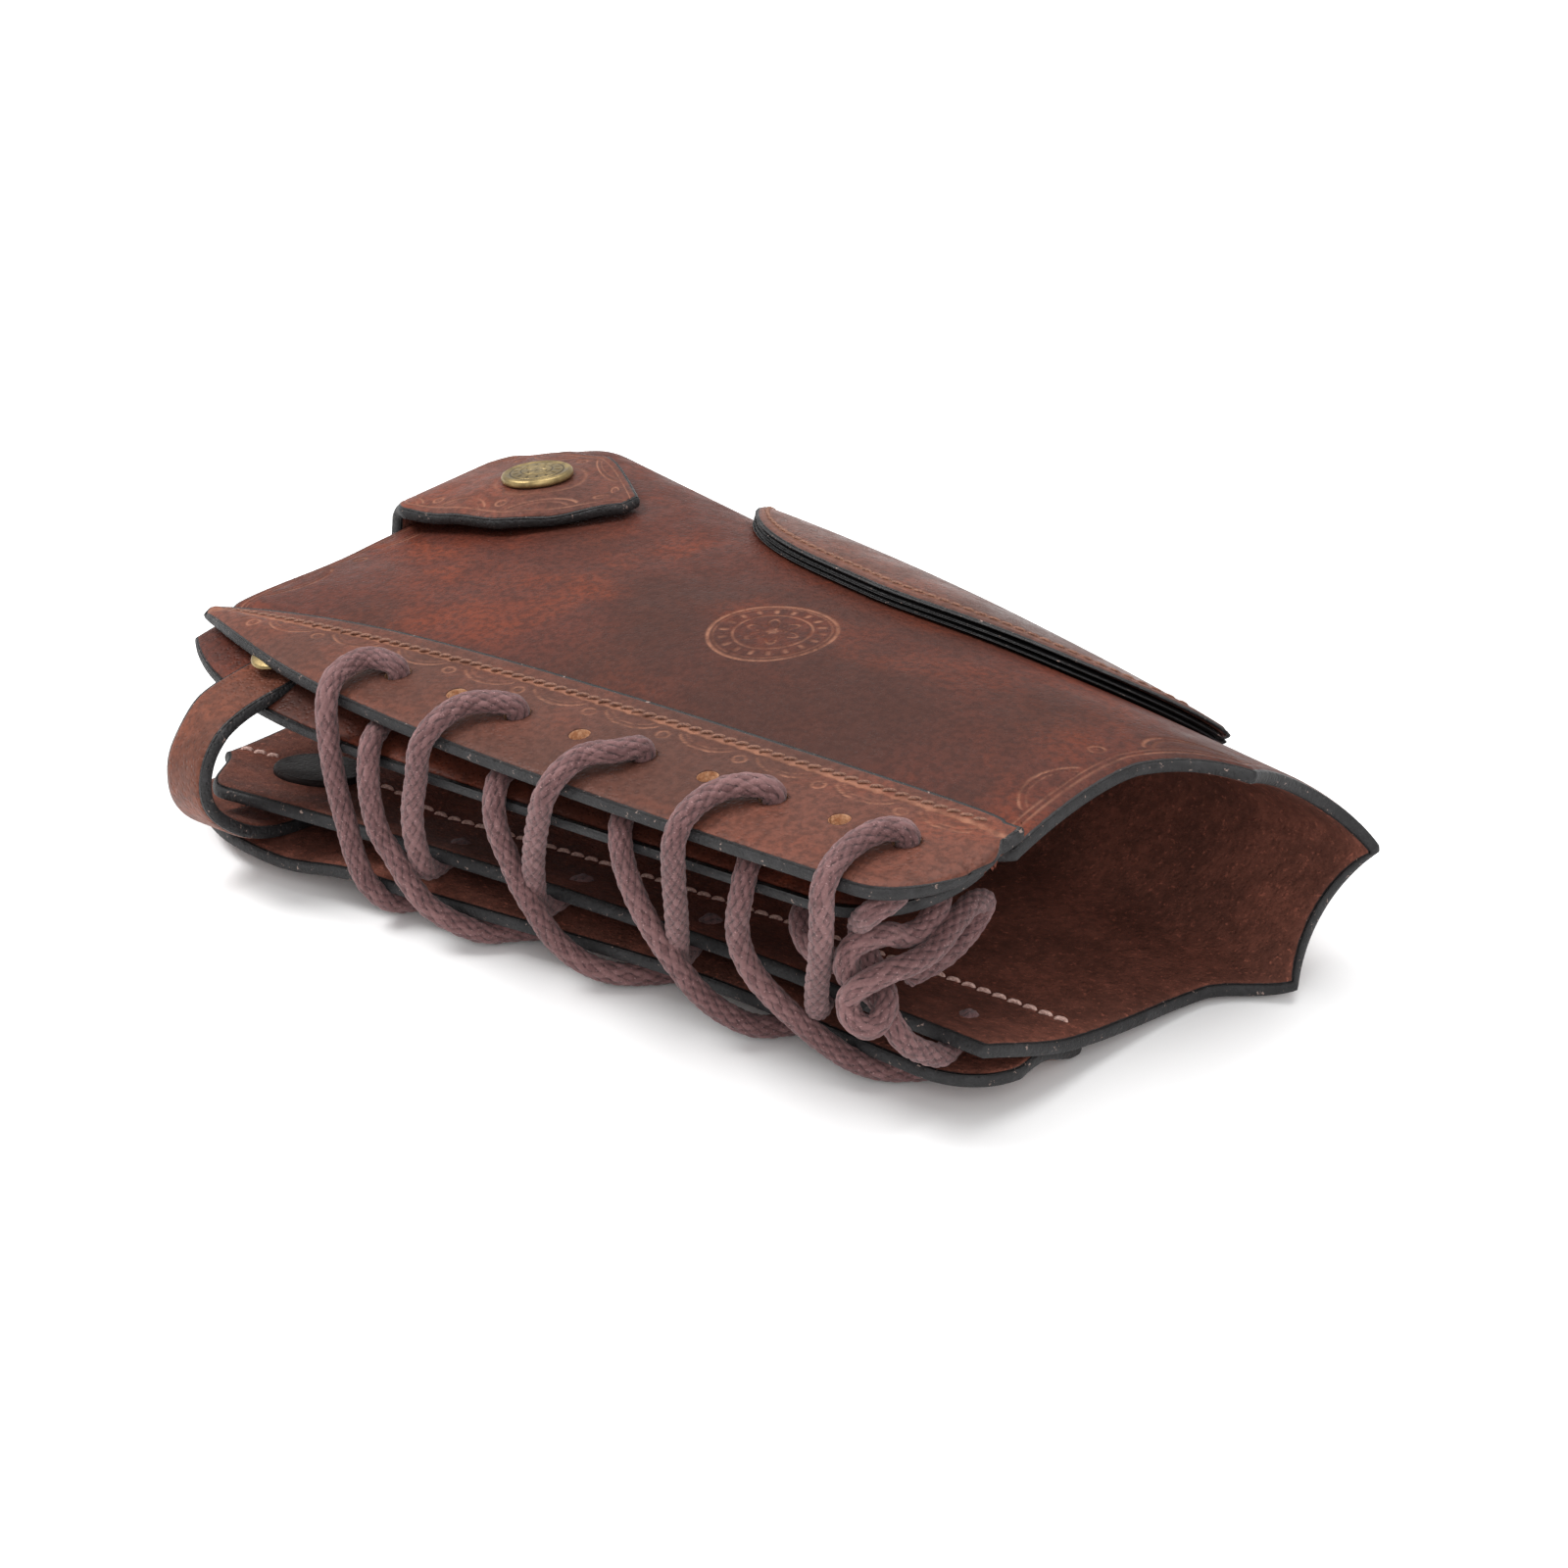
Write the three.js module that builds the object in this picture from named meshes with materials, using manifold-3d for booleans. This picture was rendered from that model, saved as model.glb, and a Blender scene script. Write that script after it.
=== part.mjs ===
// Lace-up leather butt-stock sleeve for a long gun, lying on its side. Millimetres, +Z up.
// X runs from the butt end to the mouth, Y from the lacing edge to the comb fold.
import * as THREE from "three";
import { mergeVertices } from "three/addons/utils/BufferGeometryUtils.js";
import Module from "manifold-3d";

const wasm = await Module();
wasm.setup();

// Leather, gaps and cord
const LEATHER = 3;
const GAP = 0.3;
const CORD_R = 2.1;
const HOLE_R = 2.6;
const UNUSED_HOLE_R = 1.6;
const HOLE_COUNT = 9;

// Main panel
const COMB_Y = 131;
const COMB_TAPER = 0.2936;
const SECTION_STEPS = 8;

// Lacing strips
const UPPER_STRIP_END = 190;
const LOWER_STRIP_END = 193.5;
const STRIP_LIFT = LEATHER + 0.5;

// Heel strap and flap
const STRAP_Y = 73;
const STRAP_K = 2.35;
const STRAP_HALF = 18.5;
const STRAP_NECK = 5.5;
const SNAP_X = 27.5;
const FLAP_TIP = 50.5;
const FLAP_POINT = 20;
const FLAP_DROOP = 2.2;
const FLAP_LIFT = 5.7;
const CAP_R = 7.5;

// Cheek pad
const PAD_START = 63;
const PAD_PEAK = 118;
const PAD_END = 186;
const PAD_LAYER = 0.8;
const PAD_COVER = 1.2;
const PAD_DOME = 2.4;

// Toe strap
const RIVET = { x: 29, k: 0.54 };
const LOWER_RIVET = { x: 27, k: 7.1 };

// The part's origin is a point on the flat underside of the heel strap
const ORIGIN = new THREE.Vector3(24, STRAP_Y, 0);

const V = (x, y, z) => new THREE.Vector3(x, y, z);
const clamp = (t) => Math.min(1, Math.max(0, t));
const ease = (t) => clamp(t) ** 2 * (3 - 2 * clamp(t));
const roundOff = (t) => Math.sqrt(1 - (1 - clamp(t)) ** 2);
const rise = (x, length) => 1 - Math.exp(-x / length);

// ---- solids ----

function solid(geometry) {
  const bare = new THREE.BufferGeometry();
  bare.setAttribute("position", geometry.getAttribute("position"));
  if (geometry.index) bare.setIndex(geometry.index);
  const merged = mergeVertices(bare, 1e-4);
  const mesh = new wasm.Mesh({
    numProp: 3,
    vertProperties: new Float32Array(merged.attributes.position.array),
    triVerts: new Uint32Array(merged.index.array),
  });
  return new wasm.Manifold(mesh);
}

function geometryOf(body) {
  const mesh = body.getMesh();
  const out = new THREE.BufferGeometry();
  out.setAttribute("position", new THREE.BufferAttribute(mesh.vertProperties, 3));
  out.setIndex(new THREE.BufferAttribute(mesh.triVerts, 1));
  return out;
}

function biggest(body) {
  const parts = body.decompose();
  return parts.reduce((a, b) => (a.volume() > b.volume() ? a : b));
}

function cut(body, tools) {
  return biggest(tools.reduce((left, tool) => left.subtract(tool), body));
}

function placed(geometry, point, axis) {
  const turn = new THREE.Quaternion().setFromUnitVectors(V(0, 1, 0), axis);
  return geometry.applyQuaternion(turn).translate(point.x, point.y, point.z);
}

// A turned piece: radius and height pairs from the axis out and back to the axis.
function turned(profile, point, axis, sides = 20) {
  const points = profile.map(([r, h]) => new THREE.Vector2(r, h));
  return placed(new THREE.LatheGeometry(points, sides), point, axis);
}

function bar(radius, from, to, sides = 14) {
  const axis = to.clone().sub(from);
  const middle = from.clone().add(to).multiplyScalar(0.5);
  const rod = new THREE.CylinderGeometry(radius, radius, axis.length(), sides);
  return placed(rod, middle, axis.normalize());
}

// A round cord through the points, with flat ends.
function cord(points, radius, steps, sides = 8, closed = false) {
  const path = new THREE.CatmullRomCurve3(points, closed, "centripetal");
  const outline = new THREE.Shape();
  outline.absarc(0, 0, radius, 0, 2 * Math.PI);
  const options = { steps, extrudePath: path, curveSegments: sides };
  return new THREE.ExtrudeGeometry(outline, options);
}

// A sheet of even thickness over a grid of points; at(u, v) is its middle surface.
function sheet(at, nu, nv, thickness) {
  const step = 1e-3;
  const positions = [];
  const faces = [];
  const lift = (u, v, side) => {
    const p = at(u, v);
    const du = at(Math.min(1, u + step), v).sub(at(Math.max(0, u - step), v));
    const dv = at(u, Math.min(1, v + step)).sub(at(u, Math.max(0, v - step)));
    const n = du.cross(dv).normalize();
    return p.addScaledVector(n, (side * thickness) / 2);
  };
  for (const side of [1, -1]) {
    for (let i = 0; i <= nu; i++) {
      for (let j = 0; j <= nv; j++) {
        positions.push(...lift(i / nu, j / nv, side).toArray());
      }
    }
  }
  const half = (nu + 1) * (nv + 1);
  const top = (i, j) => i * (nv + 1) + j;
  const low = (i, j) => half + top(i, j);
  const quad = (a, b, c, d) => faces.push(a, b, c, a, c, d);
  for (let i = 0; i < nu; i++) {
    for (let j = 0; j < nv; j++) {
      quad(top(i, j), top(i + 1, j), top(i + 1, j + 1), top(i, j + 1));
      quad(low(i, j), low(i, j + 1), low(i + 1, j + 1), low(i + 1, j));
    }
    quad(top(i, 0), low(i, 0), low(i + 1, 0), top(i + 1, 0));
    quad(top(i, nv), top(i + 1, nv), low(i + 1, nv), low(i, nv));
  }
  for (let j = 0; j < nv; j++) {
    quad(top(0, j), top(0, j + 1), low(0, j + 1), low(0, j));
    quad(top(nu, j), low(nu, j), low(nu, j + 1), top(nu, j + 1));
  }
  const out = new THREE.BufferGeometry();
  out.setAttribute("position", new THREE.Float32BufferAttribute(positions, 3));
  out.setIndex(faces);
  return out;
}

// ---- shape of the main panel ----

const combY = (x) => COMB_Y - COMB_TAPER * x;
const upperSeamY = (x) => 4.4 - 0.058 * x;
const lowerSeamY = (x) => 2 + 0.13 * x - 0.0005 * x * x;
// The toe strap runs under the lower side, which it lifts near the butt end.
const toeRise = (x) => 3.4 * (1 - ease((x - 36) / 20));
const lowerSeamZ = (x) => 5.4 + toeRise(x);
const upperGrowth = (x) => {
  const toe = 1 - Math.exp(-(x + 5) / 19);
  return toe * (0.08 + 0.92 * roundOff((186.5 - x) / 22));
};
const lowerGrowth = (x) => {
  const width = 1 + 0.08 * ease((x - 140) / 40);
  return (0.1 + 0.9 * ease((x - 3) / 20)) * width * roundOff((208 - x) / 17);
};

// The section across the sleeve at x: upper lip, upper seam, crown, shoulder, comb,
// lower shoulder, lower side, lower seam, lower lip.
const sections = new Map();
function section(x) {
  if (!sections.has(x)) {
    const comb = combY(x);
    const upper = upperSeamY(x);
    const lower = lowerSeamY(x);
    const top = upperGrowth(x);
    const low = lowerGrowth(x);
    const seamZ = 34 + 11.5 * rise(x, 60);
    const lift = 4.4 * (1 - ease((x - 45) / 110));
    const crown = 36.3 + 15 * rise(x, 55) - 3.5 * ease((x - 140) / 70);
    const points = [
      V(x, upper - 22.5 * top, seamZ + (30.6 + 0.04 * x - seamZ) * top),
      V(x, upper, seamZ),
      V(x, upper + 0.42 * (comb - upper), crown),
      V(x, comb - 15 - 0.075 * x, 41.2 + 0.0235 * x - 4.6 * (1 - ease(x / 20))),
      V(x, comb, 18 + 0.028 * x),
      V(x, comb - 14 - 0.02 * x, 2.4 + lift),
      V(x, 0.5 * (comb + lower), 1.7 + lift),
      V(x, lower, lowerSeamZ(x)),
      V(x, lower - 24.5 * low, lowerSeamZ(x) + (14.6 - 0.006 * x - lowerSeamZ(x)) * low),
    ];
    sections.set(x, new THREE.CatmullRomCurve3(points, false, "centripetal"));
  }
  return sections.get(x);
}

// The panel bellies up just beyond the upper seam at the butt end.
function rearLift(x, k) {
  return 2.2 * (1 - ease(x / 50)) * ease((k - 1.06) / 0.12) * (1 - ease((k - 1.18) / 0.6));
}

// The buttoned flap presses the panel down a little.
function flapDent(x, k) {
  return (1 - ease((x - 26) / 38)) * Math.exp(-(((k - 2.5) / 0.33) ** 2));
}

function panelPoint(x, k) {
  const p = section(x).getPoint(k / SECTION_STEPS);
  p.z += rearLift(x, k) - flapDent(x, k);
  return p;
}

function panelNormal(x, k) {
  const along = panelPoint(x + 0.1, k).sub(panelPoint(x - 0.1, k));
  const across = panelPoint(x, Math.min(8, k + 0.02));
  across.sub(panelPoint(x, Math.max(0, k - 0.02)));
  return along.cross(across).normalize();
}

const panelOffset = (x, k, distance) =>
  panelPoint(x, k).addScaledVector(panelNormal(x, k), distance);

// Scalloped mouth: [station, x, depth of the scallop to the next station]
const MOUTH = [
  [0, 186.2, 0],
  [1, 189.5, -6],
  [3, 209, -5],
  [4, 221, -5],
  [5, 215, -3],
  [7, 196.5, 1],
  [8, 191.5, 0],
];

function mouthX(k) {
  const i = Math.max(0, MOUTH.findLastIndex((m) => m[0] <= k && m[0] < 8));
  const [k0, x0, depth] = MOUTH[i];
  const [k1, x1] = MOUTH[i + 1];
  const t = (k - k0) / (k1 - k0);
  return x0 + (x1 - x0) * t + depth * Math.sin(Math.PI * t);
}

function panelGrid(u, v) {
  const k = SECTION_STEPS * v;
  const rear = 5 * v;
  return panelPoint(rear + u * (mouthX(k) - rear), k);
}

// ---- shape of the lacing strips ----

const stripEnd = (upper) => (upper ? UPPER_STRIP_END : LOWER_STRIP_END);

const stripWidth = (x, upper) => {
  const waist = 3 * Math.exp(-(((x - 130) / 38) ** 2));
  const full = upper ? 2 + 25 * rise(x, 45) : 1 + 26.5 * rise(x, 14) - waist;
  const tip = upper ? 0.08 : 0.5;
  return full * (tip + (1 - tip) * roundOff((stripEnd(upper) + 0.5 - x) / 15));
};

const stripSections = [new Map(), new Map()];
function stripSection(x, upper) {
  const kept = stripSections[upper ? 0 : 1];
  if (!kept.has(x)) {
    const seam = upper ? 1 : 7;
    const inward = upper ? 0.09 : -0.09;
    const side = STRIP_LIFT + (upper ? 0 : toeRise(x));
    const a = panelOffset(x, seam + inward, side);
    const b = panelOffset(x, seam, side);
    const edge = upper
      ? V(x, b.y - stripWidth(x, true), 39.8 + 0.035 * x)
      : V(x, b.y - stripWidth(x, false), 6.5 - 0.7 * toeRise(x));
    edge.z = b.z + (edge.z - b.z) * clamp((b.y - edge.y) / 14);
    const middle = b.clone().lerp(edge, 0.5);
    middle.z += upper ? 0.8 : 1.8 - 0.4 * toeRise(x);
    const points = [a, b, middle, edge];
    kept.set(x, new THREE.CatmullRomCurve3(points, false, "centripetal"));
  }
  return kept.get(x);
}

const stripPoint = (x, w, upper) => stripSection(x, upper).getPoint(w);

function stripNormal(x, w, upper) {
  const along = stripPoint(x + 0.1, w, upper).sub(stripPoint(x - 0.1, w, upper));
  const across = stripPoint(x, w + 0.02, upper).sub(stripPoint(x, w - 0.02, upper));
  return along.cross(across).normalize().multiplyScalar(upper ? -1 : 1);
}

const holeX = (i, upper) =>
  upper ? 60.6 + 15.7 * (i - 1) - 0.145 * (i - 1) ** 2 : 69 + 13.9 * (i - 1);
const HOLE_W = 0.66;

function holeFrame(i, upper) {
  const x = holeX(i, upper);
  const n = stripNormal(x, HOLE_W, upper);
  if (n.z < 0 === upper) n.negate();
  return { p: stripPoint(x, HOLE_W, upper), n };
}

// ---- shape of the lacing cord ----

// One continuous cord. Each run goes from an upper hole over the strip's edge, or out of
// the gap between the upper strip and the panel's lip, down to the lower strip.
const OVER_EDGE = [
  [[54.7, -11.7, 47.8], [52.8, -18.2, 46.3], [53.4, -21.6, 43.3], [53.4, -22, 35.9],
    [54.6, -22.2, 27.2], [56.8, -22.4, 19], [58.8, -22.6, 12.5], [61.2, -22.2, 7.6], [63.8, -18.4, 3]],
  [[87.3, -16.1, 49.2], [83.4, -18.8, 48.6], [81.6, -24.4, 46.6], [80.2, -27, 43],
    [78, -26.2, 35.5], [75.4, -24.8, 27.8], [73.6, -22.4, 19.8], [72.6, -18.6, 12.6]],
  [[118.7, -20.6, 49.9], [114.4, -23.8, 49.2], [112.8, -29, 47.2], [111, -30.8, 43.2],
    [107.9, -29, 36.5], [104.6, -26.2, 29.8], [101.2, -22.6, 21.6], [98.8, -18.2, 12.6]],
  [[145.4, -20.6, 51], [142.1, -24.4, 50.2], [141, -30.8, 48.4], [140.4, -33.2, 45],
    [138.5, -31.2, 37], [135.9, -27.2, 27.6], [132.8, -22.8, 19], [129.6, -18.4, 11.8]],
  [[174.6, -21.8, 51.8], [172.2, -26.4, 51], [171.4, -32, 49.2], [171.4, -35.4, 46.4],
    [170.1, -34, 38.8], [167.6, -30.6, 29.9], [164, -26.2, 21.2], [160.2, -20.2, 13]],
];
const OUT_OF_GAP = [
  [[62.2, -17.4, 38.2], [64, -22.2, 37.2], [65, -24.4, 33.4], [64.9, -24.2, 26.6],
    [66.4, -24, 20.4], [69.4, -23.8, 16.4], [72.6, -23.4, 11.6], [76, -22.8, 8],
    [80.2, -20.8, 5], [84.6, -17.4, 2.6], [88, -13.4, 2.2]],
  [[93, -18.8, 39], [94.6, -23.8, 38.2], [95.6, -26, 34.4], [95.9, -25.2, 29],
    [97.2, -24.4, 24.6], [99, -23.8, 19.6], [101.6, -23, 14.8], [104.2, -21.2, 9.2],
    [108.8, -18.2, 4.2], [114.6, -14.6, 2.2]],
  [[121.4, -20.6, 40.2], [123.2, -25.6, 39], [125.4, -28, 34.4], [127.4, -26.8, 26.4],
    [130.4, -25.2, 19.4], [133.8, -24, 14.2], [137.4, -22.6, 9.4], [141.2, -20, 5.4],
    [145.6, -15.6, 2.3]],
  [[149, -21.6, 41.4], [150.6, -27, 40], [151, -29.6, 35.2], [149.3, -28.2, 28.8],
    [149.4, -27, 23.6], [151.4, -25.8, 18.8], [154.6, -24.6, 15], [158.8, -23, 11],
    [163, -21.2, 7.4], [167, -18.4, 4], [172, -14.6, 2.2]],
];
const KNOT_UPPER = [
  [178.7, -25.4, 42.6], [177.9, -31, 41.8], [174, -28.4, 37.6], [171.8, -25.2, 34], [171.5, -24.1, 31.2],
  [173.2, -23.8, 27.3], [176.2, -25.2, 25.1], [178.8, -28.1, 23], [178.2, -31.4, 20.8],
  [175.4, -32.3, 21.6], [173.8, -31.7, 24.3], [175.4, -31.6, 27.2], [177.7, -29.8, 29],
  [179, -27.1, 29.6], [180.6, -23.6, 29.8], [181.8, -18.6, 30.6], [181.6, -12.4, 32.4],
  [180.6, -5, 32.6], [179.4, 1, 29.6], [178.2, -1.6, 25.4], [177.6, -9, 23.4], [175.8, -16.6, 22.8],
];
const KNOT_LOWER = [
  [183, -16.8, 10.2], [182.6, -22, 13], [181.6, -26.2, 16.6], [179.8, -27.6, 20], [177, -26.6, 22.6],
  [174.6, -26.2, 24], [173, -28.8, 26.4], [172.4, -30.4, 29.6], [173, -29.8, 33],
  [175, -27.7, 34.6], [176.6, -24.5, 34.4], [177.8, -21.4, 33], [178.8, -18, 33],
  [178.6, -12, 35.2], [174, -8, 35.6], [164, -12, 33.6], [157, -20, 30.6], [160.6, -24, 27.4],
  [167.4, -25.4, 26.6],
];

const asPoints = (list) => list.map((p) => V(...p));

function holePoints(i, upper) {
  const { p, n } = holeFrame(i, upper);
  const inside = p.clone().addScaledVector(n, upper ? -3.4 : -3.6);
  const outside = p.clone().addScaledVector(n, upper ? 2.8 : 3.4);
  return upper ? [inside, p, outside] : [outside, p, inside];
}

function cordPoints() {
  const over = OVER_EDGE.map(asPoints);
  const gap = OUT_OF_GAP.map(asPoints);
  const down = (i) => [...holePoints(i, true), ...over[(i - 1) / 2]];
  const up = (i) => holePoints(i, false);
  const first = [
    ...asPoints(KNOT_UPPER).reverse(),
    ...down(9),
    ...up(7).reverse(),
    ...gap[2].toReversed(),
    ...down(5),
    ...up(3).reverse(),
    ...gap[0].toReversed(),
    ...down(1),
    ...up(1),
  ];
  const second = [
    ...asPoints(KNOT_LOWER).reverse(),
    ...up(9).reverse(),
    ...gap[3].toReversed(),
    ...down(7),
    ...up(5).reverse(),
    ...gap[1].toReversed(),
    ...down(3),
    ...up(1).reverse(),
  ];
  return [first, second];
}

function cordBody(radius, sides) {
  const runs = cordPoints();
  const parts = runs.map((p) => solid(cord(p, radius, Math.round(1.3 * p.length), sides)));
  return parts.reduce((a, b) => a.add(b));
}

// ---- heel strap ----

// Middle line of the strap: under the sleeve, round the butt end, over the rear edge.
function flapPoint(x) {
  const p = panelPoint(Math.max(2, x), STRAP_K);
  return V(x, STRAP_Y, p.z + FLAP_LIFT - 1.9 * ease((x - 34) / 16));
}

// The near edge of the flap droops toward the panel.
function sag(x, w) {
  const edge = clamp((-w - 0.35) / 0.65) ** 2;
  return FLAP_DROOP * edge * ease((x - 2) / 16) * (1 - ease((x - 38) / 12));
}

const strapLine = new THREE.CatmullRomCurve3(
  [
    V(48, STRAP_Y, LEATHER / 2),
    V(36, STRAP_Y, LEATHER / 2),
    V(24, STRAP_Y, LEATHER / 2),
    V(12, STRAP_Y, LEATHER / 2),
    V(5, STRAP_Y, LEATHER / 2),
    V(1, STRAP_Y, 2),
    V(-1.9, STRAP_Y, 4.6),
    V(-3, STRAP_Y, 9),
    V(-3, STRAP_Y, 16),
    V(-2.6, STRAP_Y, 26),
    V(-2, STRAP_Y, 33),
    V(-1.4, STRAP_Y, 37.5),
  ],
  false,
  "centripetal",
);

const flapLine = new THREE.CatmullRomCurve3(
  [
    V(-1.3, STRAP_Y, 38.2),
    V(-0.9, STRAP_Y, 40.1),
    V(1.3, STRAP_Y, 42.3),
    V(5, STRAP_Y, 43.8),
    V(11, STRAP_Y, 45.3),
    flapPoint(19),
    flapPoint(SNAP_X),
    flapPoint(34),
    flapPoint(42),
    flapPoint(FLAP_TIP),
  ],
  false,
  "centripetal",
);

// The strap is narrower where it crosses the open butt end.
function strapGrid(u, v) {
  const p = strapLine.getPoint(1 - u);
  p.y += (STRAP_HALF - STRAP_NECK * ease((p.z - 4) / 14)) * (2 * v - 1);
  return p;
}

function flapGrid(u, v) {
  const p = flapLine.getPoint(u);
  const point = clamp((p.x - (FLAP_TIP - FLAP_POINT)) / FLAP_POINT);
  const w = 2 * v - 1;
  p.z -= sag(p.x, w);
  p.y += (STRAP_HALF - STRAP_NECK * (1 - ease((p.x + 1.5) / 8))) * (1 - 0.87 * point ** 1.15) * w;
  return p;
}

const snapFoot = () => panelPoint(SNAP_X, STRAP_K);
const snapAxis = () => {
  const slope = flapPoint(SNAP_X + 1).sub(flapPoint(SNAP_X - 1));
  return V(-slope.z, 0, slope.x).normalize();
};
const snapPlace = (height) => {
  const foot = V(SNAP_X, STRAP_Y, snapFoot().z);
  return foot.addScaledVector(snapAxis(), height);
};

// ---- toe strap ----

const rivetTop = () => panelPoint(RIVET.x, RIVET.k);
const rivetAxis = () => panelNormal(RIVET.x, RIVET.k);
const lowerRivet = () => panelPoint(LOWER_RIVET.x, LOWER_RIVET.k);
const lowerRivetAxis = () => panelNormal(LOWER_RIVET.x, LOWER_RIVET.k);

// The two long edges of the strap, from the upper seam out round the toe to the lower seam.
const TOE_NEAR = [
  [35, 1, 37.6], [35, -6, 36.9], [34.4, -12, 36.2], [33.6, -18.3, 35.4], [33, -22.4, 34.5],
  [33, -28, 32.8], [33, -31.9, 29.4], [33, -33.7, 25], [33, -33.5, 21], [33, -31.8, 17.7],
  [33, -28.4, 14.2], [33, -23.5, 10.7], [33, -17, 8], [33, -9.6, 6.6], [33, -2, 6], [33, 6, 5.4],
];
const TOE_FAR = [
  [22, 0, 37.6], [22, -5, 36.7], [21.4, -10, 35.8], [21, -13.9, 35.3], [21, -17.5, 35],
  [21, -22.1, 33.8], [21, -26.5, 30.2], [21, -29.7, 26], [21, -30.5, 21.9], [21, -29.9, 17.6],
  [21, -27.5, 13.9], [21, -20.5, 9.2], [21, -14.6, 7.4], [21, -7.7, 6.3], [21, -1, 5.8], [21, 6, 5.4],
];
const smooth = (list) => new THREE.CatmullRomCurve3(asPoints(list), false, "centripetal");
const toeNear = smooth(TOE_NEAR);
const toeFar = smooth(TOE_FAR);

function toeGrid(u, v) {
  return toeFar.getPoint(1 - u).lerp(toeNear.getPoint(1 - u), v);
}

// ---- cheek pad ----

const PAD_LAYERS = [
  LEATHER / 2 + GAP + PAD_LAYER / 2,
  LEATHER / 2 + 2 * GAP + 1.5 * PAD_LAYER,
  LEATHER / 2 + 3 * GAP + 2 * PAD_LAYER + PAD_COVER / 2,
];
const PAD_TOP = PAD_LAYERS[2] + PAD_COVER / 2;

// Half width of the pad in stations: blunt toward the butt end, drawn out toward the mouth.
function padHalf(x) {
  const rear = clamp((PAD_PEAK - x) / (PAD_PEAK - PAD_START));
  const front = clamp((x - PAD_PEAK) / (PAD_END - PAD_PEAK));
  return 0.02 + 0.92 * (1 - rear ** 4) ** 0.5 * (1 - front ** 1.6) ** 0.8;
}

function padGrid(offset, dome) {
  return (u, v) => {
    const x = PAD_START + u * (PAD_END - PAD_START);
    const half = padHalf(x);
    const w = 2 * v - 1;
    const swell = dome * (1 - w * w) * (4 * u * (1 - u));
    return panelOffset(x, 3.66 - 0.14 * half + half * w, offset + swell);
  };
}

function padThreadPoints() {
  const at = padGrid(PAD_TOP + 1.1, PAD_DOME);
  const points = [];
  const count = 22;
  const ends = 3;
  for (const back of [false, true]) {
    for (let i = 0; i < count; i++) {
      const u = 0.07 + (0.82 * i) / count;
      const x = PAD_START + u * (PAD_END - PAD_START);
      const inset = Math.min(0.3, 0.075 / padHalf(x));
      points.push(back ? at(0.96 - u, 1 - inset) : at(u, inset));
    }
    for (let i = 0; i < ends; i++) {
      const v = 0.24 + (0.52 * i) / ends;
      points.push(at(back ? 0.07 : 0.89, back ? 1 - v : v));
    }
  }
  return points;
}

// ---- materials ----

function leather(colour, roughness = 0.62) {
  return new THREE.MeshStandardMaterial({ color: colour, roughness, metalness: 0 });
}

function brass() {
  return new THREE.MeshStandardMaterial({ color: 0x8f7440, roughness: 0.42, metalness: 0.9 });
}

function cotton(colour) {
  return new THREE.MeshStandardMaterial({ color: colour, roughness: 0.95, metalness: 0 });
}

const root = new THREE.Group();
root.name = "buttstock_sleeve";

function add(name, body, material) {
  const geometry = geometryOf(body);
  geometry.computeVertexNormals();
  const mesh = new THREE.Mesh(geometry, material);
  mesh.name = name;
  mesh.position.copy(ORIGIN).negate();
  root.add(mesh);
}

// ---- assembly ----

const cordSolid = cordBody(CORD_R, 3);
const cordRoom = cordBody(CORD_R + GAP + 0.35, 3);
const panelRoom = solid(sheet(panelGrid, 20, 32, LEATHER + 2 * GAP));

function holeTools(upper) {
  const tools = [cordRoom];
  for (let i = 1; i <= HOLE_COUNT; i++) {
    const { p, n } = holeFrame(i, upper);
    const from = p.clone().addScaledVector(n, 4);
    const to = p.clone().addScaledVector(n, -4);
    // Every second hole of the upper strip carries no cord and has closed up.
    const unused = upper && i % 2 === 0;
    tools.push(solid(bar(unused ? UNUSED_HOLE_R : HOLE_R, from, to, 10)));
  }
  return tools;
}

function seamThread(upper) {
  const points = [];
  const count = 28;
  const start = upper ? 4 : 38;
  for (let i = 0; i <= count; i++) {
    const x = start + ((186 - start) * i) / count;
    const k = upper ? 1 : 7;
    const zigzag = i % 2 ? 0.35 : -0.35;
    const p = upper
      ? panelOffset(x, k, STRIP_LIFT + LEATHER / 2 + 1.0)
      : panelOffset(x, k, -LEATHER / 2 - 0.85);
    points.push(p.add(V(0, zigzag, 0)));
  }
  return solid(cord(points, 0.5, 56, 2));
}

function rivetHole(point, axis, radius, length = 14) {
  const from = point.clone().addScaledVector(axis, length / 2);
  const to = point.clone().addScaledVector(axis, -length / 2);
  return solid(bar(radius, from, to, 14));
}

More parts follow.
